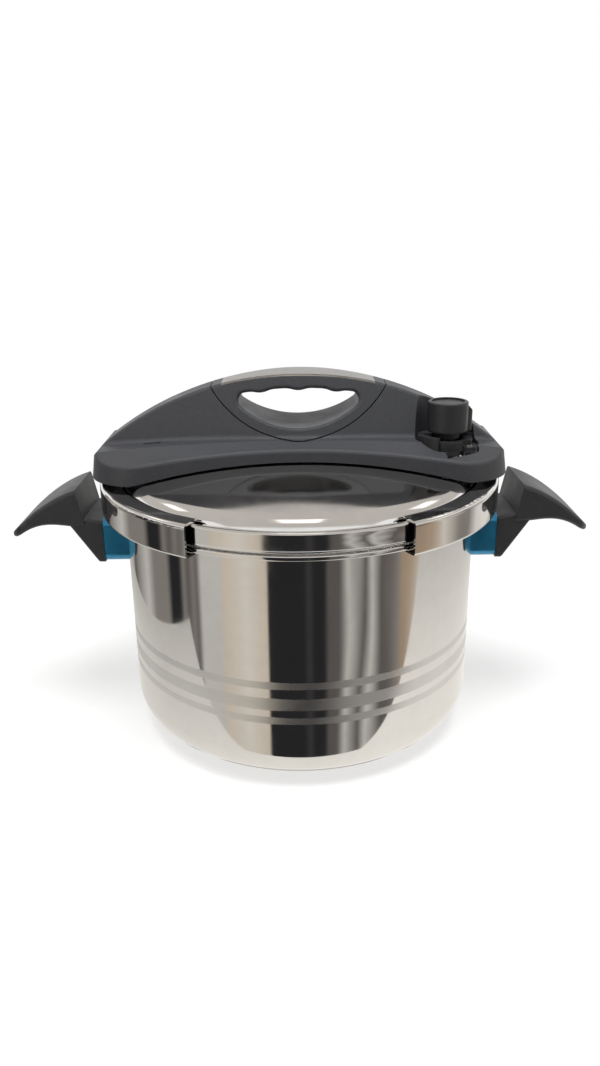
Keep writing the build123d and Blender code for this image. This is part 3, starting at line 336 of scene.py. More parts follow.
# Finishes


def scaled(colour: Colour, share: float) -> tuple[float, float, float, float]:
    """The colour made darker or lighter, with full alpha."""
    return opaque(tuple(min(1.0, share * part) for part in colour))


@dataclass(frozen=True)
class Finish:
    """Look of one kind of surface."""

    def layers(self, paint: Painter) -> dict[str, Any]:
        """Shader inputs of this look, by socket name with spaces written as underscores."""
        raise NotImplementedError

    def material(self, name: str, effects: Effects) -> bpy.types.Material:
        """Build the material.

        Args:
            name: Name of the material.
            effects: Shared node groups.

        Returns:
            The material.
        """
        paint = Painter(name, effects)
        return paint.finish(**self.layers(paint))


@dataclass(frozen=True)
class PolishedSteel(Finish):
    """Mirror-polished sheet with faint handling marks and a slight draw ripple."""

    colour: Colour = (0.80, 0.785, 0.76)
    roughness: float = 0.045
    smudged: float = 0.05
    ripple: float = 0.00025
    smudge_scale: float = 26.0
    ripple_scale: float = 22.0

    def layers(self, paint: Painter) -> dict[str, Any]:
        """Smudged mirror with a rippled normal."""
        board = paint.board
        patch = paint.smudge(self.smudge_scale)
        rough = board.span(patch, 0.0, 1.0, self.roughness, self.roughness + self.smudged)
        colour = board.blend(patch, opaque(self.colour), scaled(self.colour, 0.94))
        wave = board.noise(board.stretch(paint.where, (1.0, 1.0, 0.45)), self.ripple_scale, 1.0)
        normal = paint.bump(wave, 0.35, self.ripple)
        return {"Base_Color": colour, "Roughness": rough, "Metallic": 1.0, "Normal": normal}


@dataclass(frozen=True)
class BandedSteel(PolishedSteel):
    """Polished steel with satin bands round the pot, each given by its height and half width."""

    bands: tuple[tuple[float, float], ...] = ((0.0520, 0.0025), (0.0635, 0.0042), (0.0765, 0.0025))
    satin: float = 0.30
    satin_colour: Colour = (0.70, 0.693, 0.675)
    satin_scale: float = 55.0

    def layers(self, paint: Painter) -> dict[str, Any]:
        """Polished sheet, rougher and greyer inside the bands."""
        plain = super().layers(paint)
        board = paint.board
        height = board.add("ShaderNodeSeparateXYZ", {0: paint.where}).outputs["Z"]
        share = 0.0
        for middle, half in self.bands:
            band = paint.effect(paint.effects.band, {"Height": height, "Middle": middle, "Half": half})
            share = board.math("MAXIMUM", share, band.outputs["Share"])
        around = board.noise(board.stretch(paint.where, (1.0, 1.0, 40.0)), self.satin_scale, 3.0)
        share = board.math("MULTIPLY", share, board.span(around, 0.3, 0.7, 0.75, 1.0))
        colour = board.blend(share, plain["Base_Color"], opaque(self.satin_colour))
        rough = board.math("ADD", plain["Roughness"], board.math("MULTIPLY", share, self.satin))
        return plain | {"Base_Color": colour, "Roughness": rough}


@dataclass(frozen=True)
class BrushedMetal(Finish):
    """Metal with fine lines along one direction."""

    colour: Colour = (0.40, 0.378, 0.352)
    roughness: float = 0.30
    stretch: Point = (0.02, 1.0, 1.0)
    line_scale: float = 2600.0
    line_depth: float = 0.00004

    def layers(self, paint: Painter) -> dict[str, Any]:
        """Lines in colour, roughness and normal."""
        board = paint.board
        line = paint.lines(self.stretch, self.line_scale)
        tone = board.span(line, 0.35, 0.65)
        colour = board.blend(tone, scaled(self.colour, 0.78), opaque(self.colour))
        rough = board.span(line, 0.3, 0.7, self.roughness - 0.08, self.roughness + 0.10)
        normal = paint.bump(line, 0.25, self.line_depth)
        return {"Base_Color": colour, "Roughness": rough, "Metallic": 1.0, "Normal": normal}


@dataclass(frozen=True)
class MouldedPlastic(Finish):
    """Charcoal moulded plastic with a fine pebbled grain and faint handling marks."""

    # Default colour, used for the beam and grip: lighter than the knob and handle plastic, partly the
    # charcoal's own tone and partly painted sheen in place of the lamps' highlights on the plastic.
    colour: Colour = (0.0270, 0.0276, 0.0306)
    roughness: float = 0.46
    grain_scale: float = 1500.0
    grain_depth: float = 0.00010
    smudge_scale: float = 38.0

    def layers(self, paint: Painter) -> dict[str, Any]:
        """Grain in colour and normal, handling marks in roughness."""
        board = paint.board
        grain = paint.effect(paint.effects.grain, {"Where": paint.where, "Scale": self.grain_scale})
        patch = paint.smudge(self.smudge_scale)
        colour = board.blend(grain.outputs["Tone"], opaque(self.colour), scaled(self.colour, 1.25))
        rough = board.span(patch, 0.0, 1.0, self.roughness - 0.05, self.roughness + 0.06)
        normal = paint.bump(grain.outputs["Height"], 0.30, self.grain_depth)
        return {"Base_Color": colour, "Roughness": rough, "Normal": normal}


@dataclass(frozen=True)
class MetallicPaint(Finish):
    """Blue tinted metal sleeve under a clear coat, with fine flakes."""

    deep: Colour = (0.012, 0.150, 0.300)
    bright: Colour = (0.045, 0.330, 0.560)
    roughness: float = 0.17
    flake_scale: float = 4200.0
    flake_depth: float = 0.00003
    smudge_scale: float = 60.0
    metallic: float = 0.75
    coat: float = 0.5
    coat_roughness: float = 0.12

    def layers(self, paint: Painter) -> dict[str, Any]:
        """Flakes in colour and normal under the coat."""
        board = paint.board
        flake = board.noise(paint.where, self.flake_scale, 1.0)
        colour = board.blend(board.span(flake, 0.35, 0.65), opaque(self.deep), opaque(self.bright))
        patch = paint.smudge(self.smudge_scale)
        return {
            "Base_Color": colour,
            "Roughness": board.span(patch, 0.0, 1.0, self.roughness, self.roughness + 0.10),
            "Metallic": self.metallic,
            "Normal": paint.bump(flake, 0.10, self.flake_depth),
            "Coat_Weight": self.coat,
            "Coat_Roughness": self.coat_roughness,
        }


@dataclass(frozen=True)
class SoftRubber(Finish):
    """Matt silicone with a powdery bloom."""

    colour: Colour = (0.42, 0.41, 0.39)
    roughness: float = 0.62
    grain_scale: float = 2600.0
    grain_depth: float = 0.00005
    smudge_scale: float = 90.0

    def layers(self, paint: Painter) -> dict[str, Any]:
        """Bloom in colour and roughness over a faint grain."""
        board = paint.board
        patch = paint.smudge(self.smudge_scale)
        colour = board.blend(patch, opaque(self.colour), scaled(self.colour, 1.25))
        rough = board.span(patch, 0.0, 1.0, self.roughness, self.roughness + 0.15)
        grain = paint.effect(paint.effects.grain, {"Where": paint.where, "Scale": self.grain_scale})
        normal = paint.bump(grain.outputs["Height"], 0.12, self.grain_depth)
        return {"Base_Color": colour, "Roughness": rough, "Normal": normal}


class Palette:
    """The finished materials, one for each look of the object."""

    def __init__(self, effects: Effects) -> None:
        """Build every material once."""
        lid = PolishedSteel(roughness=0.075, smudged=0.06)
        jaw = PolishedSteel(roughness=0.04, smudged=0.04, ripple=0.0006)
        turned = BrushedMetal((0.62, 0.61, 0.59), 0.26, (1.0, 1.0, 0.05))
        cast = BrushedMetal((0.78, 0.78, 0.78), 0.38, (1.0, 0.03, 1.0))
        knob = MouldedPlastic((0.0150, 0.0152, 0.0164), 0.42, 1900.0)
        handle = MouldedPlastic((0.0150, 0.0153, 0.0168))
        self.pot = BandedSteel().material("polished_pot", effects)
        self.lid = lid.material("polished_lid", effects)
        self.jaw = jaw.material("polished_jaw", effects)
        self.steel = turned.material("turned_steel", effects)
        self.strip = BrushedMetal().material("brushed_strip", effects)
        self.aluminium = cast.material("cast_aluminium", effects)
        # Beam and grip plastic: a lighter copy of the knob and handle plastic, its extra lightness being
        # painted sheen in place of lamp highlights.
        self.plastic = MouldedPlastic().material("charcoal_plastic_with_painted_sheen", effects)
        self.knob = knob.material("knob_plastic", effects)
        self.handle = handle.material("handle_plastic", effects)
        self.blue = MetallicPaint().material("blue_sleeve", effects)
        self.silicone = SoftRubber().material("grey_silicone", effects)


# Pieces


def dress(material: bpy.types.Material, *nodes: str) -> None:
    """Give CAD nodes a finish.

    Args:
        material: The finish.
        *nodes: Names of the nodes.
    """
    for name in nodes:
        for slot in frame["nodes"][name].material_slots:
            slot.material = material
        LOG.info("dressed %s in %s", name, material.name)


def node_body(node: str) -> str:
    """Name of the body that carries a CAD node."""
    return frame["nodes"][node]["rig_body"]


def place(piece: bpy.types.Object, node: str) -> None:
    """Let a piece stand for a CAD node on that node's body.

    Args:
        piece: The finished piece.
        node: The node that it replaces.
    """
    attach(piece, node_body(node))
    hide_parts(node)
    LOG.info("%s stands for %s, %d faces", piece.name, node, len(piece.data.polygons))


class NodeShape:
    """A Geometry Nodes tree with named inputs, made into a plain mesh."""

    def __init__(self, name: str) -> None:
        """Start an empty tree.

        Args:
            name: Name of the piece.
        """
        self.name = name
        self.tree = bpy.data.node_groups.new(name + "_shape", "GeometryNodeTree")
        self.board = Board(self.tree)
        self.values: dict[str, Any] = {}
        self.given: bpy.types.Node | None = None

    def open(self, **values: Any) -> bpy.types.Node:
        """Args:
            **values: Numbers, points, objects or materials by input name.

        Returns:
            The tree's input node.
        """
        for label, value in values.items():
            if isinstance(value, bpy.types.Material):
                kind = "NodeSocketMaterial"
            elif isinstance(value, bpy.types.Object):
                kind = "NodeSocketObject"
            elif isinstance(value, int):
                kind = "NodeSocketInt"
            elif isinstance(value, float):
                kind = "NodeSocketFloat"
            else:
                kind = "NodeSocketVector"
            socket = self.tree.interface.new_socket(label, in_out="INPUT", socket_type=kind)
            self.values[socket.identifier] = value
        self.tree.interface.new_socket("Shape", in_out="OUTPUT", socket_type="NodeSocketGeometry")
        self.given = self.board.add("NodeGroupInput")
        return self.given

    def close(self, shape: bpy.types.NodeSocket) -> bpy.types.Object:
        """End the tree and turn its result into a plain mesh piece.

        Args:
            shape: Geometry output to finish.

        Returns:
            The piece, at the origin and with no modifier.
        """
        real = self.board.add("GeometryNodeRealizeInstances", {0: shape})
        smooth = self.board.add("GeometryNodeSetShadeSmooth", {0: real.outputs[0]})
        skin = self.board.add("GeometryNodeSetMaterial", {0: smooth.outputs[0]})
        self.board.feed(skin.inputs["Material"], self.given.outputs["Finish"])
        self.board.add("NodeGroupOutput", {0: skin.outputs[0]})
        holder = bpy.data.objects.new(self.name + "_holder", bpy.data.meshes.new(self.name + "_empty"))
        bpy.context.scene.collection.objects.link(holder)
        modifier = holder.modifiers.new("shape", "NODES")
        modifier.node_group = self.tree
        for key, value in self.values.items():
            modifier[key] = value
        evaluated = holder.evaluated_get(bpy.context.evaluated_depsgraph_get())
        mesh = bpy.data.meshes.new_from_object(evaluated)
        bpy.data.objects.remove(holder)
        mesh.name = self.name
        piece = bpy.data.objects.new(self.name, mesh)
        bpy.context.scene.collection.objects.link(piece)
        return piece


@dataclass
class CoilSpring:
    """Helical compression spring that stands for a CAD sleeve.

    Attributes:
        node: CAD node that it replaces.
        joint: Name of a joint; not used.
        travel: Travel of that joint in metres; not used.
        turns: Number of turns.
        wire: Radius of the wire.
    """

    node: str
    joint: str
    travel: float
    turns: float = 5.0
    wire: float = 0.00038

    def build(self, finish: bpy.types.Material) -> bpy.types.Object:
        """Wind the spring between the ends of its node.

        Args:
            finish: Material of the wire.

        Returns:
            The spring.
        """
        low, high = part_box(self.node)
        middle = (low + high) / 2
        shape = NodeShape(self.node + "_coil")
        given = shape.open(
            Turns=self.turns,
            Coil=(high.x - low.x) / 2 - self.wire,
            Wire=self.wire,
            Height=high.z - low.z - 2 * self.wire,
            Foot=(middle.x, middle.y, low.z + self.wire),
            Finish=finish,
        )
        board = shape.board
        spiral = board.add("GeometryNodeCurveSpiral", {"Resolution": 28})
        sources = {"Rotations": "Turns", "Start Radius": "Coil", "End Radius": "Coil", "Height": "Height"}
        for socket, label in sources.items():
            board.feed(spiral.inputs[socket], given.outputs[label])
        ring = board.add("GeometryNodeCurvePrimitiveCircle", {"Resolution": 8})
        board.feed(ring.inputs["Radius"], given.outputs["Wire"])
        tube = board.add("GeometryNodeCurveToMesh", {0: spiral.outputs[0], 1: ring.outputs[0]})
        board.feed(tube.inputs["Fill Caps"], True)
        moved = board.add("GeometryNodeTransform", {0: tube.outputs[0]})
        board.feed(moved.inputs["Translation"], given.outputs["Foot"])
        piece = shape.close(moved.outputs[0])
        place(piece, self.node)
        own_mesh(piece)
        return piece


@dataclass
class PanHeadScrew:
    """Pan-head screw with a cross recess, along +X with its head's top at the origin.

    Attributes:
        head: Radius of the head.
        head_rise: Thickness of the head.
        shank: Radius of the shank.
        length: Length under the head.
        sides: Corners round the head.
    """

    head: float
    head_rise: float
    shank: float
    length: float
    sides: int = 32

    def cross(self) -> list[tuple[float, float]]:
        """Corners of the cross recess, in order."""
        arm, half = 0.58 * self.head, 0.13 * self.head
        quarter = [(arm, -half), (arm, half), (half, half)]
        turned = []
        for index in range(4):
            turn = Matrix.Rotation(index * pi / 2, 2)
            turned += [tuple(turn @ Vector(corner)) for corner in quarter]
        return turned

    def profile(self) -> list[tuple[float, float]]:
        """Radius and depth of the rings, from the flat top's edge to the tip."""
        rise = self.head_rise
        return [
            (0.72 * self.head, 0.0),
            (0.90 * self.head, -0.10 * rise),
            (0.98 * self.head, -0.28 * rise),
            (self.head, -0.50 * rise),
            (self.head, -rise),
            (self.shank, -rise),
            (self.shank, -rise - 0.92 * self.length),
            (0.60 * self.shank, -rise - self.length),
        ]

    def ring(self, mesh: bmesh.types.BMesh, radius: float, depth: float) -> list[bmesh.types.BMVert]:
        """One ring of vertices round the screw's axis."""
        turns = [tau * index / self.sides for index in range(self.sides)]
        return [mesh.verts.new((depth, radius * cos(turn), radius * sin(turn))) for turn in turns]

    def build(self) -> bpy.types.Object:
        """Make the screw as a loose pattern object.

        Returns:
            The pattern, not linked to the scene.
        """
        mesh = bmesh.new()
        rings = [self.ring(mesh, radius, depth) for radius, depth in self.profile()]
        for upper, lower in zip(rings, rings[1:]):
            for index in range(self.sides):
                after = (index + 1) % self.sides
                mesh.faces.new((upper[index], lower[index], lower[after], upper[after]))
        mesh.faces.new(rings[-1])
        brink = [mesh.verts.new((0.0, y, z)) for y, z in self.cross()]
        floor = [mesh.verts.new((-0.62 * self.head_rise, 0.8 * y, 0.8 * z)) for y, z in self.cross()]
        count = len(brink)
        for index in range(count):
            after = (index + 1) % count
            mesh.faces.new((brink[index], brink[after], floor[after], floor[index]))
        mesh.faces.new(floor)
        rim = [mesh.edges.get((rings[0][i], rings[0][(i + 1) % self.sides])) for i in range(self.sides)]
        slot = [mesh.edges.get((brink[i], brink[(i + 1) % count])) for i in range(count)]
        bmesh.ops.triangle_fill(mesh, use_beauty=True, edges=rim + slot)
        bmesh.ops.recalc_face_normals(mesh, faces=mesh.faces)
        data = bpy.data.meshes.new("screw_pattern")
        mesh.to_mesh(data)
        mesh.free()
        return bpy.data.objects.new("screw_pattern", data)


@dataclass
class ScrewPair:
    """Two screws that stand for one CAD node, placed by a Geometry Nodes line.

    Attributes:
        node: CAD node that holds both screws.
        along: Direction of the screws' axes.
        facing: True if the two heads point away from each other.
        head_rise: Thickness of a head.
        shank: Radius of a shank.
        length: Length under a head.
    """

    node: str
    along: Axis
    facing: bool
    head_rise: float
    shank: float
    length: float

    def build(self, finish: bpy.types.Material) -> bpy.types.Object:
        """Place the two screws.

        Args:
            finish: Material of the screws.

        Returns:
            The pair as one piece.
        """
        low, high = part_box(self.node)
        head = (high.z - low.z) / 2
        pattern = PanHeadScrew(head, self.head_rise, self.shank, self.length).build()
        bpy.context.scene.collection.objects.link(pattern)
        middle = (low + high) / 2
        if self.along is Axis.X:
            first, last = Vector((high.x, middle.y, middle.z)), Vector((low.x, middle.y, middle.z))
        else:
            first = Vector((high.x - head, high.y, middle.z))
            last = Vector((low.x + head, high.y, middle.z))
        shape = NodeShape(self.node + "_pair")
        given = shape.open(
            First=tuple(first),
            Step=tuple(last - first),
            Pattern=pattern,
            Quarter=0.0 if self.along is Axis.X else pi / 2,
            Turn=pi if self.facing else 0.0,
            Finish=finish,
        )
        board = shape.board
        line = board.add("GeometryNodeMeshLine", {"Count": 2}, mode="OFFSET")
        board.feed(line.inputs["Start Location"], given.outputs["First"])
        board.feed(line.inputs["Offset"], given.outputs["Step"])
        source = board.add("GeometryNodeObjectInfo", {"Object": given.outputs["Pattern"]})
        turned = board.math("MULTIPLY", board.add("GeometryNodeInputIndex").outputs[0], given.outputs["Turn"])
        angle = board.math("ADD", turned, given.outputs["Quarter"])
        euler = board.add("ShaderNodeCombineXYZ", {"Z": angle})
        copies = board.add("GeometryNodeInstanceOnPoints", {"Points": line.outputs[0]})
        board.feed(copies.inputs["Instance"], source.outputs["Geometry"])
        board.feed(copies.inputs["Rotation"], euler.outputs[0])
        piece = shape.close(copies.outputs[0])
        bpy.data.objects.remove(pattern)
        place(piece, self.node)
        return piece


class HalfSection:
    """Closed half section of a spun sheet, as radius and height in metres."""

    MERGE = 1e-6

    def __init__(self, *points: tuple[float, float]) -> None:
        """Start with straight runs through some points."""
        self.points = list(points)

    def to(self, *points: tuple[float, float]) -> "HalfSection":
        """Go on in straight runs, without setting a point twice."""
        for point in points:
            if dist(point, self.points[-1]) > self.MERGE:
                self.points.append(point)
        return self

    def arc(
        self, centre: tuple[float, float], radius: float, start: float, end: float, step: float = 5.0
    ) -> "HalfSection":
        """Go on round an arc.

        Args:
            centre: Radius and height of the arc's centre.
            radius: Radius of the arc.
            start: First angle in degrees, from outwards towards up.
            end: Last angle.
            step: Largest angle between two points.

        Returns:
            The section itself.
        """
        count = max(2, ceil(abs(end - start) / step))
        for index in range(count + 1):
            turn = radians(start + (end - start) * index / count)
            self.to((centre[0] + radius * cos(turn), centre[1] + radius * sin(turn)))
        return self


@dataclass
class SpunShell:
    """Sheet piece spun round the Z axis, finer than its CAD node, which it replaces.

    Attributes:
        node: CAD node that it replaces.
        section: Half section from the axis back to the axis.
        sides: Steps round the axis.
        crease: Angle in degrees past which an edge stays sharp.
    """

    node: str
    section: HalfSection
    sides: int = 288
    crease: float = 50.0

    def build(self, finish: bpy.types.Material) -> bpy.types.Object:
        """Spin the section.

        Args:
            finish: Material of the sheet.

        Returns:
            The piece.
        """
        mesh = bmesh.new()
        turns = [tau * index / self.sides for index in range(self.sides)]
        rings = []
        for radius, height in self.section.points:
            if radius == 0.0:
                rings.append([mesh.verts.new((0.0, 0.0, height))] * self.sides)
            else:
                spots = [(radius * cos(turn), radius * sin(turn), height) for turn in turns]
                rings.append([mesh.verts.new(spot) for spot in spots])
        for inner, outer in zip(rings, rings[1:]):
            for index in range(self.sides):
                after = (index + 1) % self.sides
                corners = dict.fromkeys((inner[index], outer[index], outer[after], inner[after]))
                mesh.faces.new(tuple(corners))
        bmesh.ops.recalc_face_normals(mesh, faces=mesh.faces)
        for face in mesh.faces:
            face.smooth = True
        data = bpy.data.meshes.new(self.node + "_spun")
        mesh.to_mesh(data)
        mesh.free()
        data.set_sharp_from_angle(angle=radians(self.crease))
        data.materials.append(finish)
        piece = bpy.data.objects.new(self.node + "_spun", data)
        bpy.context.scene.collection.objects.link(piece)
        place(piece, self.node)
        return piece


# Sub-assemblies


class SubAssembly:
    """Pieces of the cooker that are finished together."""

    def dress(self, palette: Palette) -> None:
        """Give the CAD nodes their finishes."""
        raise NotImplementedError

    def build(self, palette: Palette) -> None:
        """Make the pieces that stand for CAD nodes, where there are any."""


@dataclass
class Pot(SubAssembly):
    """Drawn pot body with its capsule base.

    Attributes:
        sheet: Thickness of the sheet.
        corner: Outer radius of the bottom edge.
        flare: How far the rim stands out from the wall.
        bend: Radius under the rim.
        bead: Width, height and corner radius of the rolled bead.
    """

    sheet: float = 0.0010
    corner: float = 0.0220
    flare: float = 0.0095
    bend: float = 0.0040
    bead: tuple[float, float, float] = (0.0036, 0.0038, 0.0015)

    def section(self) -> HalfSection:
        """Half section of the pot body, outside first."""
        low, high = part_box("pot_body")
        sheet, corner, bend = self.sheet, self.corner, self.bend
        width, tall, turn = self.bead
        rim, top, floor = high.x, high.z, low.z
        wall = rim - self.flare
        neck = top - sheet - bend
        foot = (wall - corner, floor + corner)
        inner, outer = rim - width + turn, rim - turn
        return (
            HalfSection((0.0, floor))
            .arc(foot, corner, -90.0, 0.0, 3.0)
            .arc((wall + bend, neck), bend, 180.0, 90.0)
            .to((rim - width, top - sheet))
            .arc((inner, top - tall + turn), turn, 180.0, 270.0, 10.0)
            .arc((outer, top - tall + turn), turn, -90.0, 0.0, 10.0)
            .arc((outer, top - turn), turn, 0.0, 90.0, 10.0)
            .arc((wall + bend, neck), bend + sheet, 90.0, 180.0)
            .arc(foot, corner - sheet, 0.0, -90.0, 5.0)
            .to((0.0, floor + sheet))
        )

    def dress(self, palette: Palette) -> None:
        """Finish the base."""
        dress(palette.pot, "base_cap")
        dress(palette.aluminium, "base_core")

    def build(self, palette: Palette) -> None:
        """Spin the pot body."""
        SpunShell("pot_body", self.section()).build(palette.pot)


@dataclass
class Lid(SubAssembly):
    """Domed lid with a rounded shoulder and a rolled rim, its seal and what is welded to it.

    Attributes:
        sheet: Thickness of the sheet.
        skirt: Height of the rim.
        crown: Rise of the dome's top over the rim.
        dome: Radius of the dome.
        shoulder: Radius that turns from the dome to the groove.
        shoulder_start: Distance from the axis where the dome ends.
        shoulder_turn: Slope in degrees at which the shoulder ends.
        dome_step: Angle in degrees between two rings of the dome.
        groove: Outer radius and depth of the groove inside the rim.
        roll: Radius of the rim's outer edge.
        lip: Radius of the rolled lip under the skirt, and how far it stands out.
    """

    sheet: float = 0.0010
    skirt: float = 0.0123
    crown: float = 0.0175
    dome: float = 0.5330
    shoulder: float = 0.0150
    shoulder_start: float = 0.1130
    shoulder_turn: float = 50.0
    dome_step: float = 0.4
    groove: tuple[float, float] = (0.1268, 0.0027)
    roll: float = 0.0017
    lip: tuple[float, float] = (0.0009, 0.0003)
    fixings: tuple[str, ...] = ("left_jaw_guide", "right_jaw_guide", "beam_studs", "beam_nuts")

    def section(self) -> HalfSection:
        """Half section of the lid, outside first."""
        low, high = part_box("lid_shell")
        lip, proud = self.lip
        sheet, roll = self.sheet, self.roll
        rim = high.x - proud
        top = low.z + self.skirt
        crown = top + self.crown
        groove, depth = self.groove
        lean = degrees(asin(self.shoulder_start / self.dome))
        step = self.dome_step
        centre = (0.0, crown - self.dome)
        along = self.dome - self.shoulder
        bend = (along * sin(radians(lean)), centre[1] + along * cos(radians(lean)))
        drop = bend[0] + self.shoulder * sin(radians(self.shoulder_turn))
        floor = top - depth
        curl = groove - drop - 2 * sheet
        return (
            HalfSection((0.0, crown))
            .arc(centre, self.dome, 90.0 - step, 90.0 - lean, step)
            .arc(bend, self.shoulder, 90.0 - lean, 90.0 - self.shoulder_turn, 2.0)
            .to((drop + 0.3 * sheet, floor + sheet))
            .to((drop + sheet, floor), (drop + sheet + curl, floor))
            .arc((groove + roll, top - roll), roll, 180.0, 90.0, 10.0)
            .arc((rim - roll, top - roll), roll, 90.0, 0.0, 8.0)
            .arc((rim - lip + proud, low.z + lip), lip, 45.0, -180.0, 15.0)
            .to((rim - sheet, top - roll), (rim - roll, top - sheet), (groove + roll, top - sheet))
            .to((groove + sheet, floor - sheet), (drop, floor - sheet))
            .arc(bend, self.shoulder - sheet, 90.0 - self.shoulder_turn, 90.0 - lean, 4.0)
            .arc(centre, self.dome - sheet, 90.0 - lean, 90.0 - step, 1.0)
            .to((0.0, crown - sheet))
        )

    def dress(self, palette: Palette) -> None:
        """Finish the lid's seal and fixings."""
        dress(palette.silicone, "lid_gasket")
        dress(palette.steel, *self.fixings)

    def build(self, palette: Palette) -> None:
        """Spin the lid."""
        SpunShell("lid_shell", self.section()).build(palette.lid)


@dataclass
class Clamps(SubAssembly):
    """Two sliding jaws with their cross pins."""

    sides: tuple[str, ...] = ("left", "right")

    def dress(self, palette: Palette) -> None:
        """Finish the jaws and their pins."""
        for side in self.sides:
            dress(palette.jaw, f"{side}_jaw")
            dress(palette.steel, f"{side}_jaw_pin")


@dataclass
class Bridge(SubAssembly):
    """Moulded beam with the lift-up grip in its middle."""

    plastic: tuple[str, ...] = ("bridge_beam", "grip_front", "grip_rear")
    shank: float = 0.0015
    head_rise: float = 0.0018
    length: float = 0.0120

    def dress(self, palette: Palette) -> None:
        """Finish beam and grip."""
        dress(palette.plastic, *self.plastic)
        dress(palette.strip, "grip_strip")
        dress(palette.steel, "grip_core")

    def build(self, palette: Palette) -> None:
        """Make the grip's screws."""
        ScrewPair("grip_screws", Axis.Y, False, self.head_rise, self.shank, self.length).build(palette.steel)


@dataclass
class SteamValve(SubAssembly):
    """Working valve under the selector knob, and the pressure indicator beside it."""

    black: tuple[str, ...] = ("valve_knob", "knob_cap", "valve_collar", "indicator_cover")
    metal: tuple[str, ...] = ("valve_stem", "valve_nut", "valve_filter", "valve_needle")
    bright: tuple[str, ...] = ("indicator_bush", "indicator_pin")
    needle_travel: float = 0.0015
    spring_turns: float = 6.0

    def dress(self, palette: Palette) -> None:
        """Finish the valve's pieces."""
        dress(palette.knob, *self.black)
        dress(palette.steel, *self.metal)
        dress(palette.jaw, *self.bright)
        dress(palette.silicone, "valve_gasket")

    def build(self, palette: Palette) -> None:
        """Wind the valve's spring."""
        CoilSpring("valve_spring", "needle_lift", self.needle_travel, self.spring_turns).build(palette.steel)


@dataclass
class SafetyValve(SubAssembly):
    """Spring-loaded safety valve under the left end of the beam."""

    metal: tuple[str, ...] = ("safety_body", "safety_nut", "safety_piston")
    piston_travel: float = 0.0020
    spring_turns: float = 4.0

    def dress(self, palette: Palette) -> None:
        """Finish the safety valve's pieces."""
        dress(palette.steel, *self.metal)
        dress(palette.silicone, "safety_gasket")

    def build(self, palette: Palette) -> None:
        """Wind the safety valve's spring."""
        CoilSpring("safety_spring", "safety_lift", self.piston_travel, self.spring_turns).build(palette.steel)


@dataclass
class SideHandles(SubAssembly):
    """Two drooping handles on blue sleeves, each held by one screw."""

    sides: tuple[str, ...] = ("left", "right")
    shank: float = 0.0025
    head_rise: float = 0.0030
    length: float = 0.0170

    def dress(self, palette: Palette) -> None:
        """Finish handles and sleeves."""
        for side in self.sides:
            dress(palette.handle, f"{side}_side_handle")
            dress(palette.blue, f"{side}_bracket")
        dress(palette.steel, "handle_bosses")

    def build(self, palette: Palette) -> None:
        """Make the handles' screws."""
        ScrewPair("handle_screws", Axis.X, True, self.head_rise, self.shank, self.length).build(palette.steel)


# Studio and camera


def seen_directly(board: Board) -> bpy.types.NodeSocket:
    """Share that is 1 for camera, glossy and transmission rays."""
    path = board.add("ShaderNodeLightPath")
    share = board.math("MAXIMUM", path.outputs["Is Camera Ray"], path.outputs["Is Glossy Ray"])
    return board.math("MAXIMUM", share, path.outputs["Is Transmission Ray"])


WHITE = (1.0, 1.0, 1.0)
PALE, CREAM, GREY = (0.80, 0.78, 0.74), (0.70, 0.655, 0.59), (0.56, 0.545, 0.52)
BEIGE, BROWN, STONE = (0.62, 0.545, 0.455), (0.40, 0.30, 0.21), (0.24, 0.22, 0.205)
SHADE, DARK, BLACK = (0.11, 0.10, 0.095), (0.050, 0.048, 0.050), (0.022, 0.022, 0.024)
# Degrees from straight ahead, clockwise from above, with what the room shows there
ROOM_STRIPES = (
    (-150.0, PALE),
    (-138.0, SHADE),
    (-117.0, GREY),
    (-108.0, STONE),
    (-94.0, STONE),
    (-90.0, BLACK),
    (-82.0, BLACK),
    (-79.0, STONE),
    (-75.0, SHADE),
    (-71.0, STONE),
    (-68.0, SHADE),
    (-65.0, GREY),
    (-51.0, GREY),
    (-49.5, BEIGE),
    (-34.0, CREAM),
    (-21.0, BEIGE),
    (-20.0, BLACK),
    (2.0, BLACK),
    (5.0, DARK),
    (8.0, BLACK),
    (15.0, BLACK),
    (16.5, SHADE),
    (23.0, SHADE),
    (28.0, GREY),
    (38.0, SHADE),
    (45.0, GREY),
    (55.0, SHADE),
    (66.0, STONE),
    (72.0, BROWN),
    (82.0, CREAM),
    (104.0, STONE),
    (116.0, PALE),
)


@dataclass
class Softbox:
    """One soft area lamp aimed at the object.

    Attributes:
        name: Name of the lamp.
        spot: Place of the lamp in metres.
        size: Width and height.
        power: Power in watts.
        colour: Colour of the light.
    """

    name: str
    spot: Point
    size: tuple[float, float]
    power: float
    colour: Colour = (1.0, 0.97, 0.93)

    def build(self, target: Vector) -> None:
        """Hang the lamp.

        Args:
            target: Point that it is aimed at.
        """
        lamp = bpy.data.lights.new(self.name, "AREA")
        lamp.shape = "RECTANGLE"
        lamp.size, lamp.size_y = self.size
        lamp.energy = self.power
        lamp.color = self.colour
        holder = bpy.data.objects.new(self.name, lamp)
        holder.location = self.spot
        holder.rotation_euler = (target - Vector(self.spot)).to_track_quat("-Z", "Y").to_euler()
        holder.visible_glossy = False
        bpy.context.scene.collection.objects.link(holder)


@dataclass
class Card:
    """Flat panel that only reflections see.

    Attributes:
        name: Name of the panel.
        corners: Its corners in order, in metres.
    """

    name: str
    corners: tuple[Point, ...]

    def build(self, material: bpy.types.Material) -> None:
        """Put the panel up.

        Args:
            material: What reflections see on it.
        """
        mesh = bpy.data.meshes.new(self.name)
        mesh.from_pydata(self.corners, [], [tuple(range(len(self.corners)))])
        mesh.materials.append(material)
        panel = bpy.data.objects.new(self.name, mesh)
        bpy.context.scene.collection.objects.link(panel)
        panel.visible_camera = False
        panel.visible_diffuse = False
        panel.visible_shadow = False


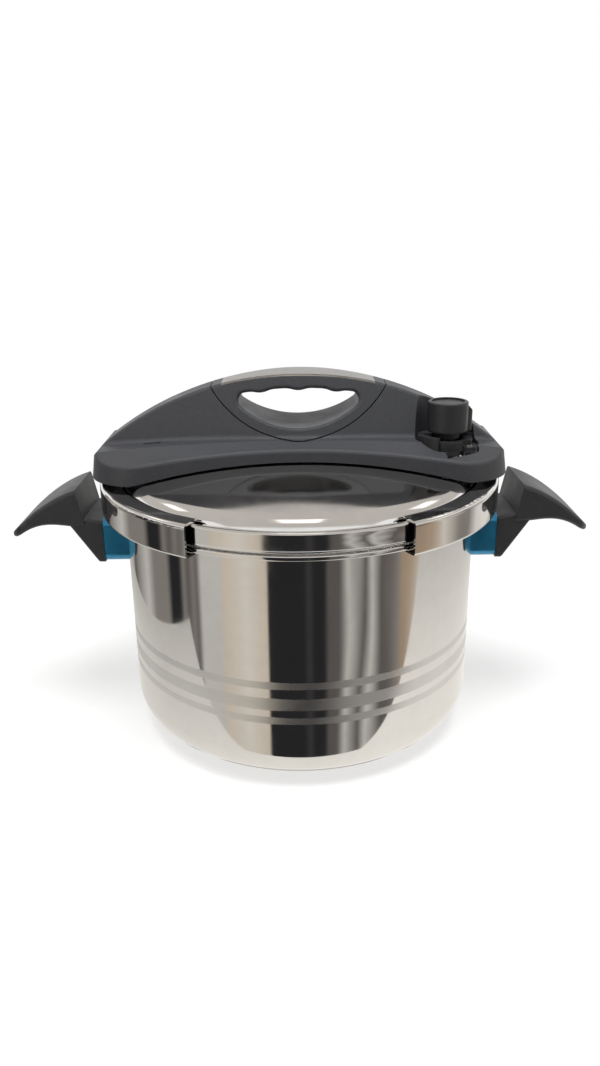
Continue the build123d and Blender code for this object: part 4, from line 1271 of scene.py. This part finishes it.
def level_panel(low: tuple[float, float], high: tuple[float, float], height: float) -> tuple[Point, ...]:
    """Corners of a level panel between two opposite corners."""
    (x0, y0), (x1, y1) = low, high
    return ((x0, y0, height), (x1, y0, height), (x1, y1, height), (x0, y1, height))


@dataclass
class Table:
    """Edges of the pale table that the polished steel reflects, in metres from the pot's axis.

    Attributes:
        left: Left edge.
        right: Right edge.
        front: Edge towards the camera.
        back: Far edge.
        room_drop: Height of the table over the room's floor.
    """

    left: float = -0.285
    right: float = 0.47
    front: float = -0.145
    back: float = 1.6
    room_drop: float = 0.75

    def level(self, height: float) -> tuple[Point, ...]:
        """Corners of the table top at a height."""
        return level_panel((self.left, self.front), (self.right, self.back), height)


@dataclass
class Studio:
    """Pale floor, soft lamps, reflection panels and the white surroundings."""

    floor_radius: float = 8.0
    floor_colour: Colour = (0.86, 0.85, 0.83)
    ambient: float = 0.28
    table: Table = field(default_factory=Table)
    room_reach: float = 3.2
    wall_top: float = 1.25
    ceiling: float = 2.3
    ceiling_half: float = 4.0
    shade_half: float = 1.3
    shade_low: float = 1.0
    shade_high: float = 1.62

    def build(self, target: Vector) -> None:
        """Set the stage.

        Args:
            target: Middle of the object.
        """
        self.build_world()
        self.build_floor()
        self.build_room()
        self.build_overhead()
        for lamp in (
            Softbox("key_softbox", (-0.85, -0.95, 1.55), (0.9, 0.9), 6.0),
            Softbox("top_softbox", (0.05, -0.40, 1.75), (1.3, 0.8), 50.0, (0.97, 0.985, 1.0)),
            Softbox("fill_softbox", (1.35, -0.55, 1.0), (0.7, 1.0), 3.0, (0.95, 0.97, 1.0)),
        ):
            lamp.build(target)

    def build_world(self) -> None:
        """White surroundings for what is seen, softer ones for what is lit."""
        world = bpy.data.worlds.new("studio_surroundings")
        world.use_nodes = True
        bpy.context.scene.world = world
        world.node_tree.nodes.clear()
        board = Board(world.node_tree)
        lit = {"Color": opaque((0.98, 0.98, 1.0)), "Strength": self.ambient}
        soft = board.add("ShaderNodeBackground", lit).outputs[0]
        white = board.add("ShaderNodeBackground", {"Color": opaque(WHITE), "Strength": 1.0}).outputs[0]
        mixed = board.add("ShaderNodeMixShader", {0: seen_directly(board), 1: soft, 2: white})
        board.add("ShaderNodeOutputWorld", {"Surface": mixed.outputs[0]})

    def build_floor(self) -> None:
        """Round pale floor that keeps a soft shadow near the object and fades to white."""
        mesh = bmesh.new()
        bmesh.ops.create_circle(mesh, cap_ends=True, radius=self.floor_radius, segments=64)
        data = bpy.data.meshes.new("floor")
        mesh.to_mesh(data)
        mesh.free()
        floor = bpy.data.objects.new("floor", data)
        floor.location.z = CAD_BOX[0][2] - 0.0002
        bpy.context.scene.collection.objects.link(floor)
        floor.visible_glossy = False
        material = bpy.data.materials.new("pale_floor")
        material.use_nodes = True
        material.node_tree.nodes.clear()
        board = Board(material.node_tree)
        where = board.add("ShaderNodeTexCoord").outputs["Object"]
        away = board.add("ShaderNodeVectorMath", {0: where}, operation="LENGTH").outputs["Value"]
        share = board.math("MULTIPLY", seen_directly(board), board.span(away, 0.16, 0.55, 0.62, 1.0))
        matt = board.add("ShaderNodeBsdfDiffuse", {"Color": opaque(self.floor_colour)})
        white = board.add("ShaderNodeEmission", {"Color": opaque(WHITE), "Strength": 1.0})
        mixed = board.add("ShaderNodeMixShader", {0: share, 1: matt.outputs[0], 2: white.outputs[0]})
        board.add("ShaderNodeOutputMaterial", {"Surface": mixed.outputs[0]})
        data.materials.append(material)

    def build_room(self) -> None:
        """What the steel's upright walls reflect: the table top and the room past its edges."""
        table, reach = self.table, self.room_reach
        low = CAD_BOX[0][2]
        Card("table_top", table.level(low + 0.0004)).build(self.table_material())
        room = self.room_material()
        ground = low - table.room_drop
        Card("room_floor", self.level_square(reach, ground)).build(room)
        corners = ((-reach, reach), (-reach, -reach), (reach, -reach), (reach, reach))
        for index, ((x0, y0), (x1, y1)) in enumerate(zip(corners, corners[1:])):
            panel = ((x0, y0, ground), (x0, y0, self.wall_top), (x1, y1, self.wall_top), (x1, y1, ground))
            Card(f"room_wall_{index}", panel).build(room)

    def build_overhead(self) -> None:
        """What the lid reflects: a grey ceiling, a shaded back wall and three bright windows."""
        ceiling = self.glow("ceiling_glow", (0.58, 0.553, 0.52))
        Card("ceiling", self.level_square(self.ceiling_half, self.ceiling)).build(ceiling)
        shade = self.glow("back_shade_glow", (0.050, 0.050, 0.054))
        half, back = self.shade_half, self.table.back
        foot = ((-half, back, self.shade_low), (half, back, self.shade_low))
        head = ((half, back, self.shade_high), (-half, back, self.shade_high))
        Card("back_shade", foot + head).build(shade)
        window = self.glow("window_glow", (1.7, 1.66, 1.58))
        for name, (x, y, z), (wide, deep) in (
            ("window_centre", (0.0, -0.12, 2.2), (0.27, 0.34)),
            ("window_left", (-1.25, 0.74, 1.60), (0.16, 0.30)),
            ("window_right", (1.30, 0.70, 1.60), (0.22, 0.30)),
        ):
            panel = level_panel((x - wide, y - deep), (x + wide, y + deep), z)
            Card(name, panel).build(window)

    @staticmethod
    def level_square(half: float, height: float) -> tuple[Point, ...]:
        """Corners of a level square about the Z axis."""
        return level_panel((-half, -half), (half, half), height)

    @staticmethod
    def lit_board(name: str) -> tuple[bpy.types.Material, Board, bpy.types.NodeSocket]:
        """Start a material that only glows.

        Args:
            name: Name of the material.

        Returns:
            The material, its board and the socket of the colour that reflections show.
        """
        material = bpy.data.materials.new(name)
        material.use_nodes = True
        material.node_tree.nodes.clear()
        board = Board(material.node_tree)
        light = board.add("ShaderNodeEmission", {"Strength": 1.0})
        board.add("ShaderNodeOutputMaterial", {"Surface": light.outputs[0]})
        return material, board, light.inputs["Color"]

    def glow(self, name: str, colour: Colour) -> bpy.types.Material:
        """Material that shows one even colour in reflections."""
        material, board, shown = self.lit_board(name)
        board.feed(shown, opaque(colour))
        return material

    def table_material(self) -> bpy.types.Material:
        """Cream table top, brightest beside the pot and dimmer to the left."""
        material, board, shown = self.lit_board("table_glow")
        where = board.add("ShaderNodeTexCoord").outputs["Object"]
        away = board.add("ShaderNodeVectorMath", {0: where}, operation="LENGTH").outputs["Value"]
        side = board.add("ShaderNodeSeparateXYZ", {0: where}).outputs["X"]
        near = board.span(away, 0.12, 0.45, 1.0, 0.62)
        level = board.math("MULTIPLY", near, board.span(side, -0.28, 0.05, 0.68, 1.0))
        board.feed(shown, board.blend(level, opaque((0.0, 0.0, 0.0)), opaque((0.96, 0.935, 0.885))))
        return material

    def room_material(self) -> bpy.types.Material:
        """Upright stripes of a room by direction: pale, warm, dark and mixed greys."""
        material, board, shown = self.lit_board("room_stripes")
        where = board.add("ShaderNodeTexCoord").outputs["Object"]
        parts = board.add("ShaderNodeSeparateXYZ", {0: where})
        angle = board.math("ARCTAN2", parts.outputs["X"], board.math("MULTIPLY", parts.outputs["Y"], -1.0))
        towards = board.add("ShaderNodeVectorMath", {0: where}, operation="NORMALIZE").outputs["Vector"]
        bend = board.noise(towards, 3.2, 1.0)
        right = board.span(angle, radians(20.0), radians(30.0))
        swing = board.math("MULTIPLY", board.math("SUBTRACT", bend, 0.5), 0.5)
        sway = board.math("MULTIPLY", swing, right)
        share = board.span(board.math("ADD", angle, sway), -pi, pi)
        ramp = board.add("ShaderNodeValToRGB", {0: share})
        stops = ramp.color_ramp
        for index, (heading, colour) in enumerate(ROOM_STRIPES):
            spot = (heading + 180.0) / 360.0
            stop = stops.elements[index] if index < 2 else stops.elements.new(spot)
            stop.position = spot
            stop.color = opaque(colour)
        board.feed(shown, ramp.outputs[0])
        return material


@dataclass
class Viewpoint:
    """Camera at the photograph's viewing angle.

    Attributes:
        spot: Place of the camera in metres.
        tilt: Angle below the horizon in degrees.
        roll: Turn about the line of sight in degrees.
        lens: Focal length in millimetres on a 36 mm tall picture.
    """

    spot: Point = (0.0, -0.5815, 0.3451)
    tilt: float = 20.13
    roll: float = -0.72
    lens: float = 29.11

    def build(self) -> None:
        """Place the camera and make it the scene's own."""
        camera = bpy.data.cameras.new("camera")
        camera.sensor_fit = "VERTICAL"
        camera.sensor_height = 36.0
        camera.lens = self.lens
        camera.clip_start = 0.01
        holder = bpy.data.objects.new("camera", camera)
        aim = Euler((radians(90.0 - self.tilt), 0.0, 0.0)).to_matrix().to_4x4()
        turn = Matrix.Rotation(radians(self.roll), 4, "Z")
        holder.matrix_world = Matrix.Translation(self.spot) @ aim @ turn
        bpy.context.scene.collection.objects.link(holder)
        bpy.context.scene.camera = holder


def main() -> None:
    """Dress the cooker, add its springs and screws, and set up studio and camera."""
    logging.basicConfig(level=logging.INFO, format="%(name)s: %(message)s")
    bpy.context.scene.view_settings.view_transform = "Standard"
    palette = Palette(Effects())
    for part in (Pot(), Lid(), Clamps(), Bridge(), SteamValve(), SafetyValve(), SideHandles()):
        part.dress(palette)
        part.build(palette)
    low, high = (Vector(corner) for corner in CAD_BOX)
    Studio().build((low + high) / 2)
    Viewpoint().build()


if __name__ == "__main__":
    main()
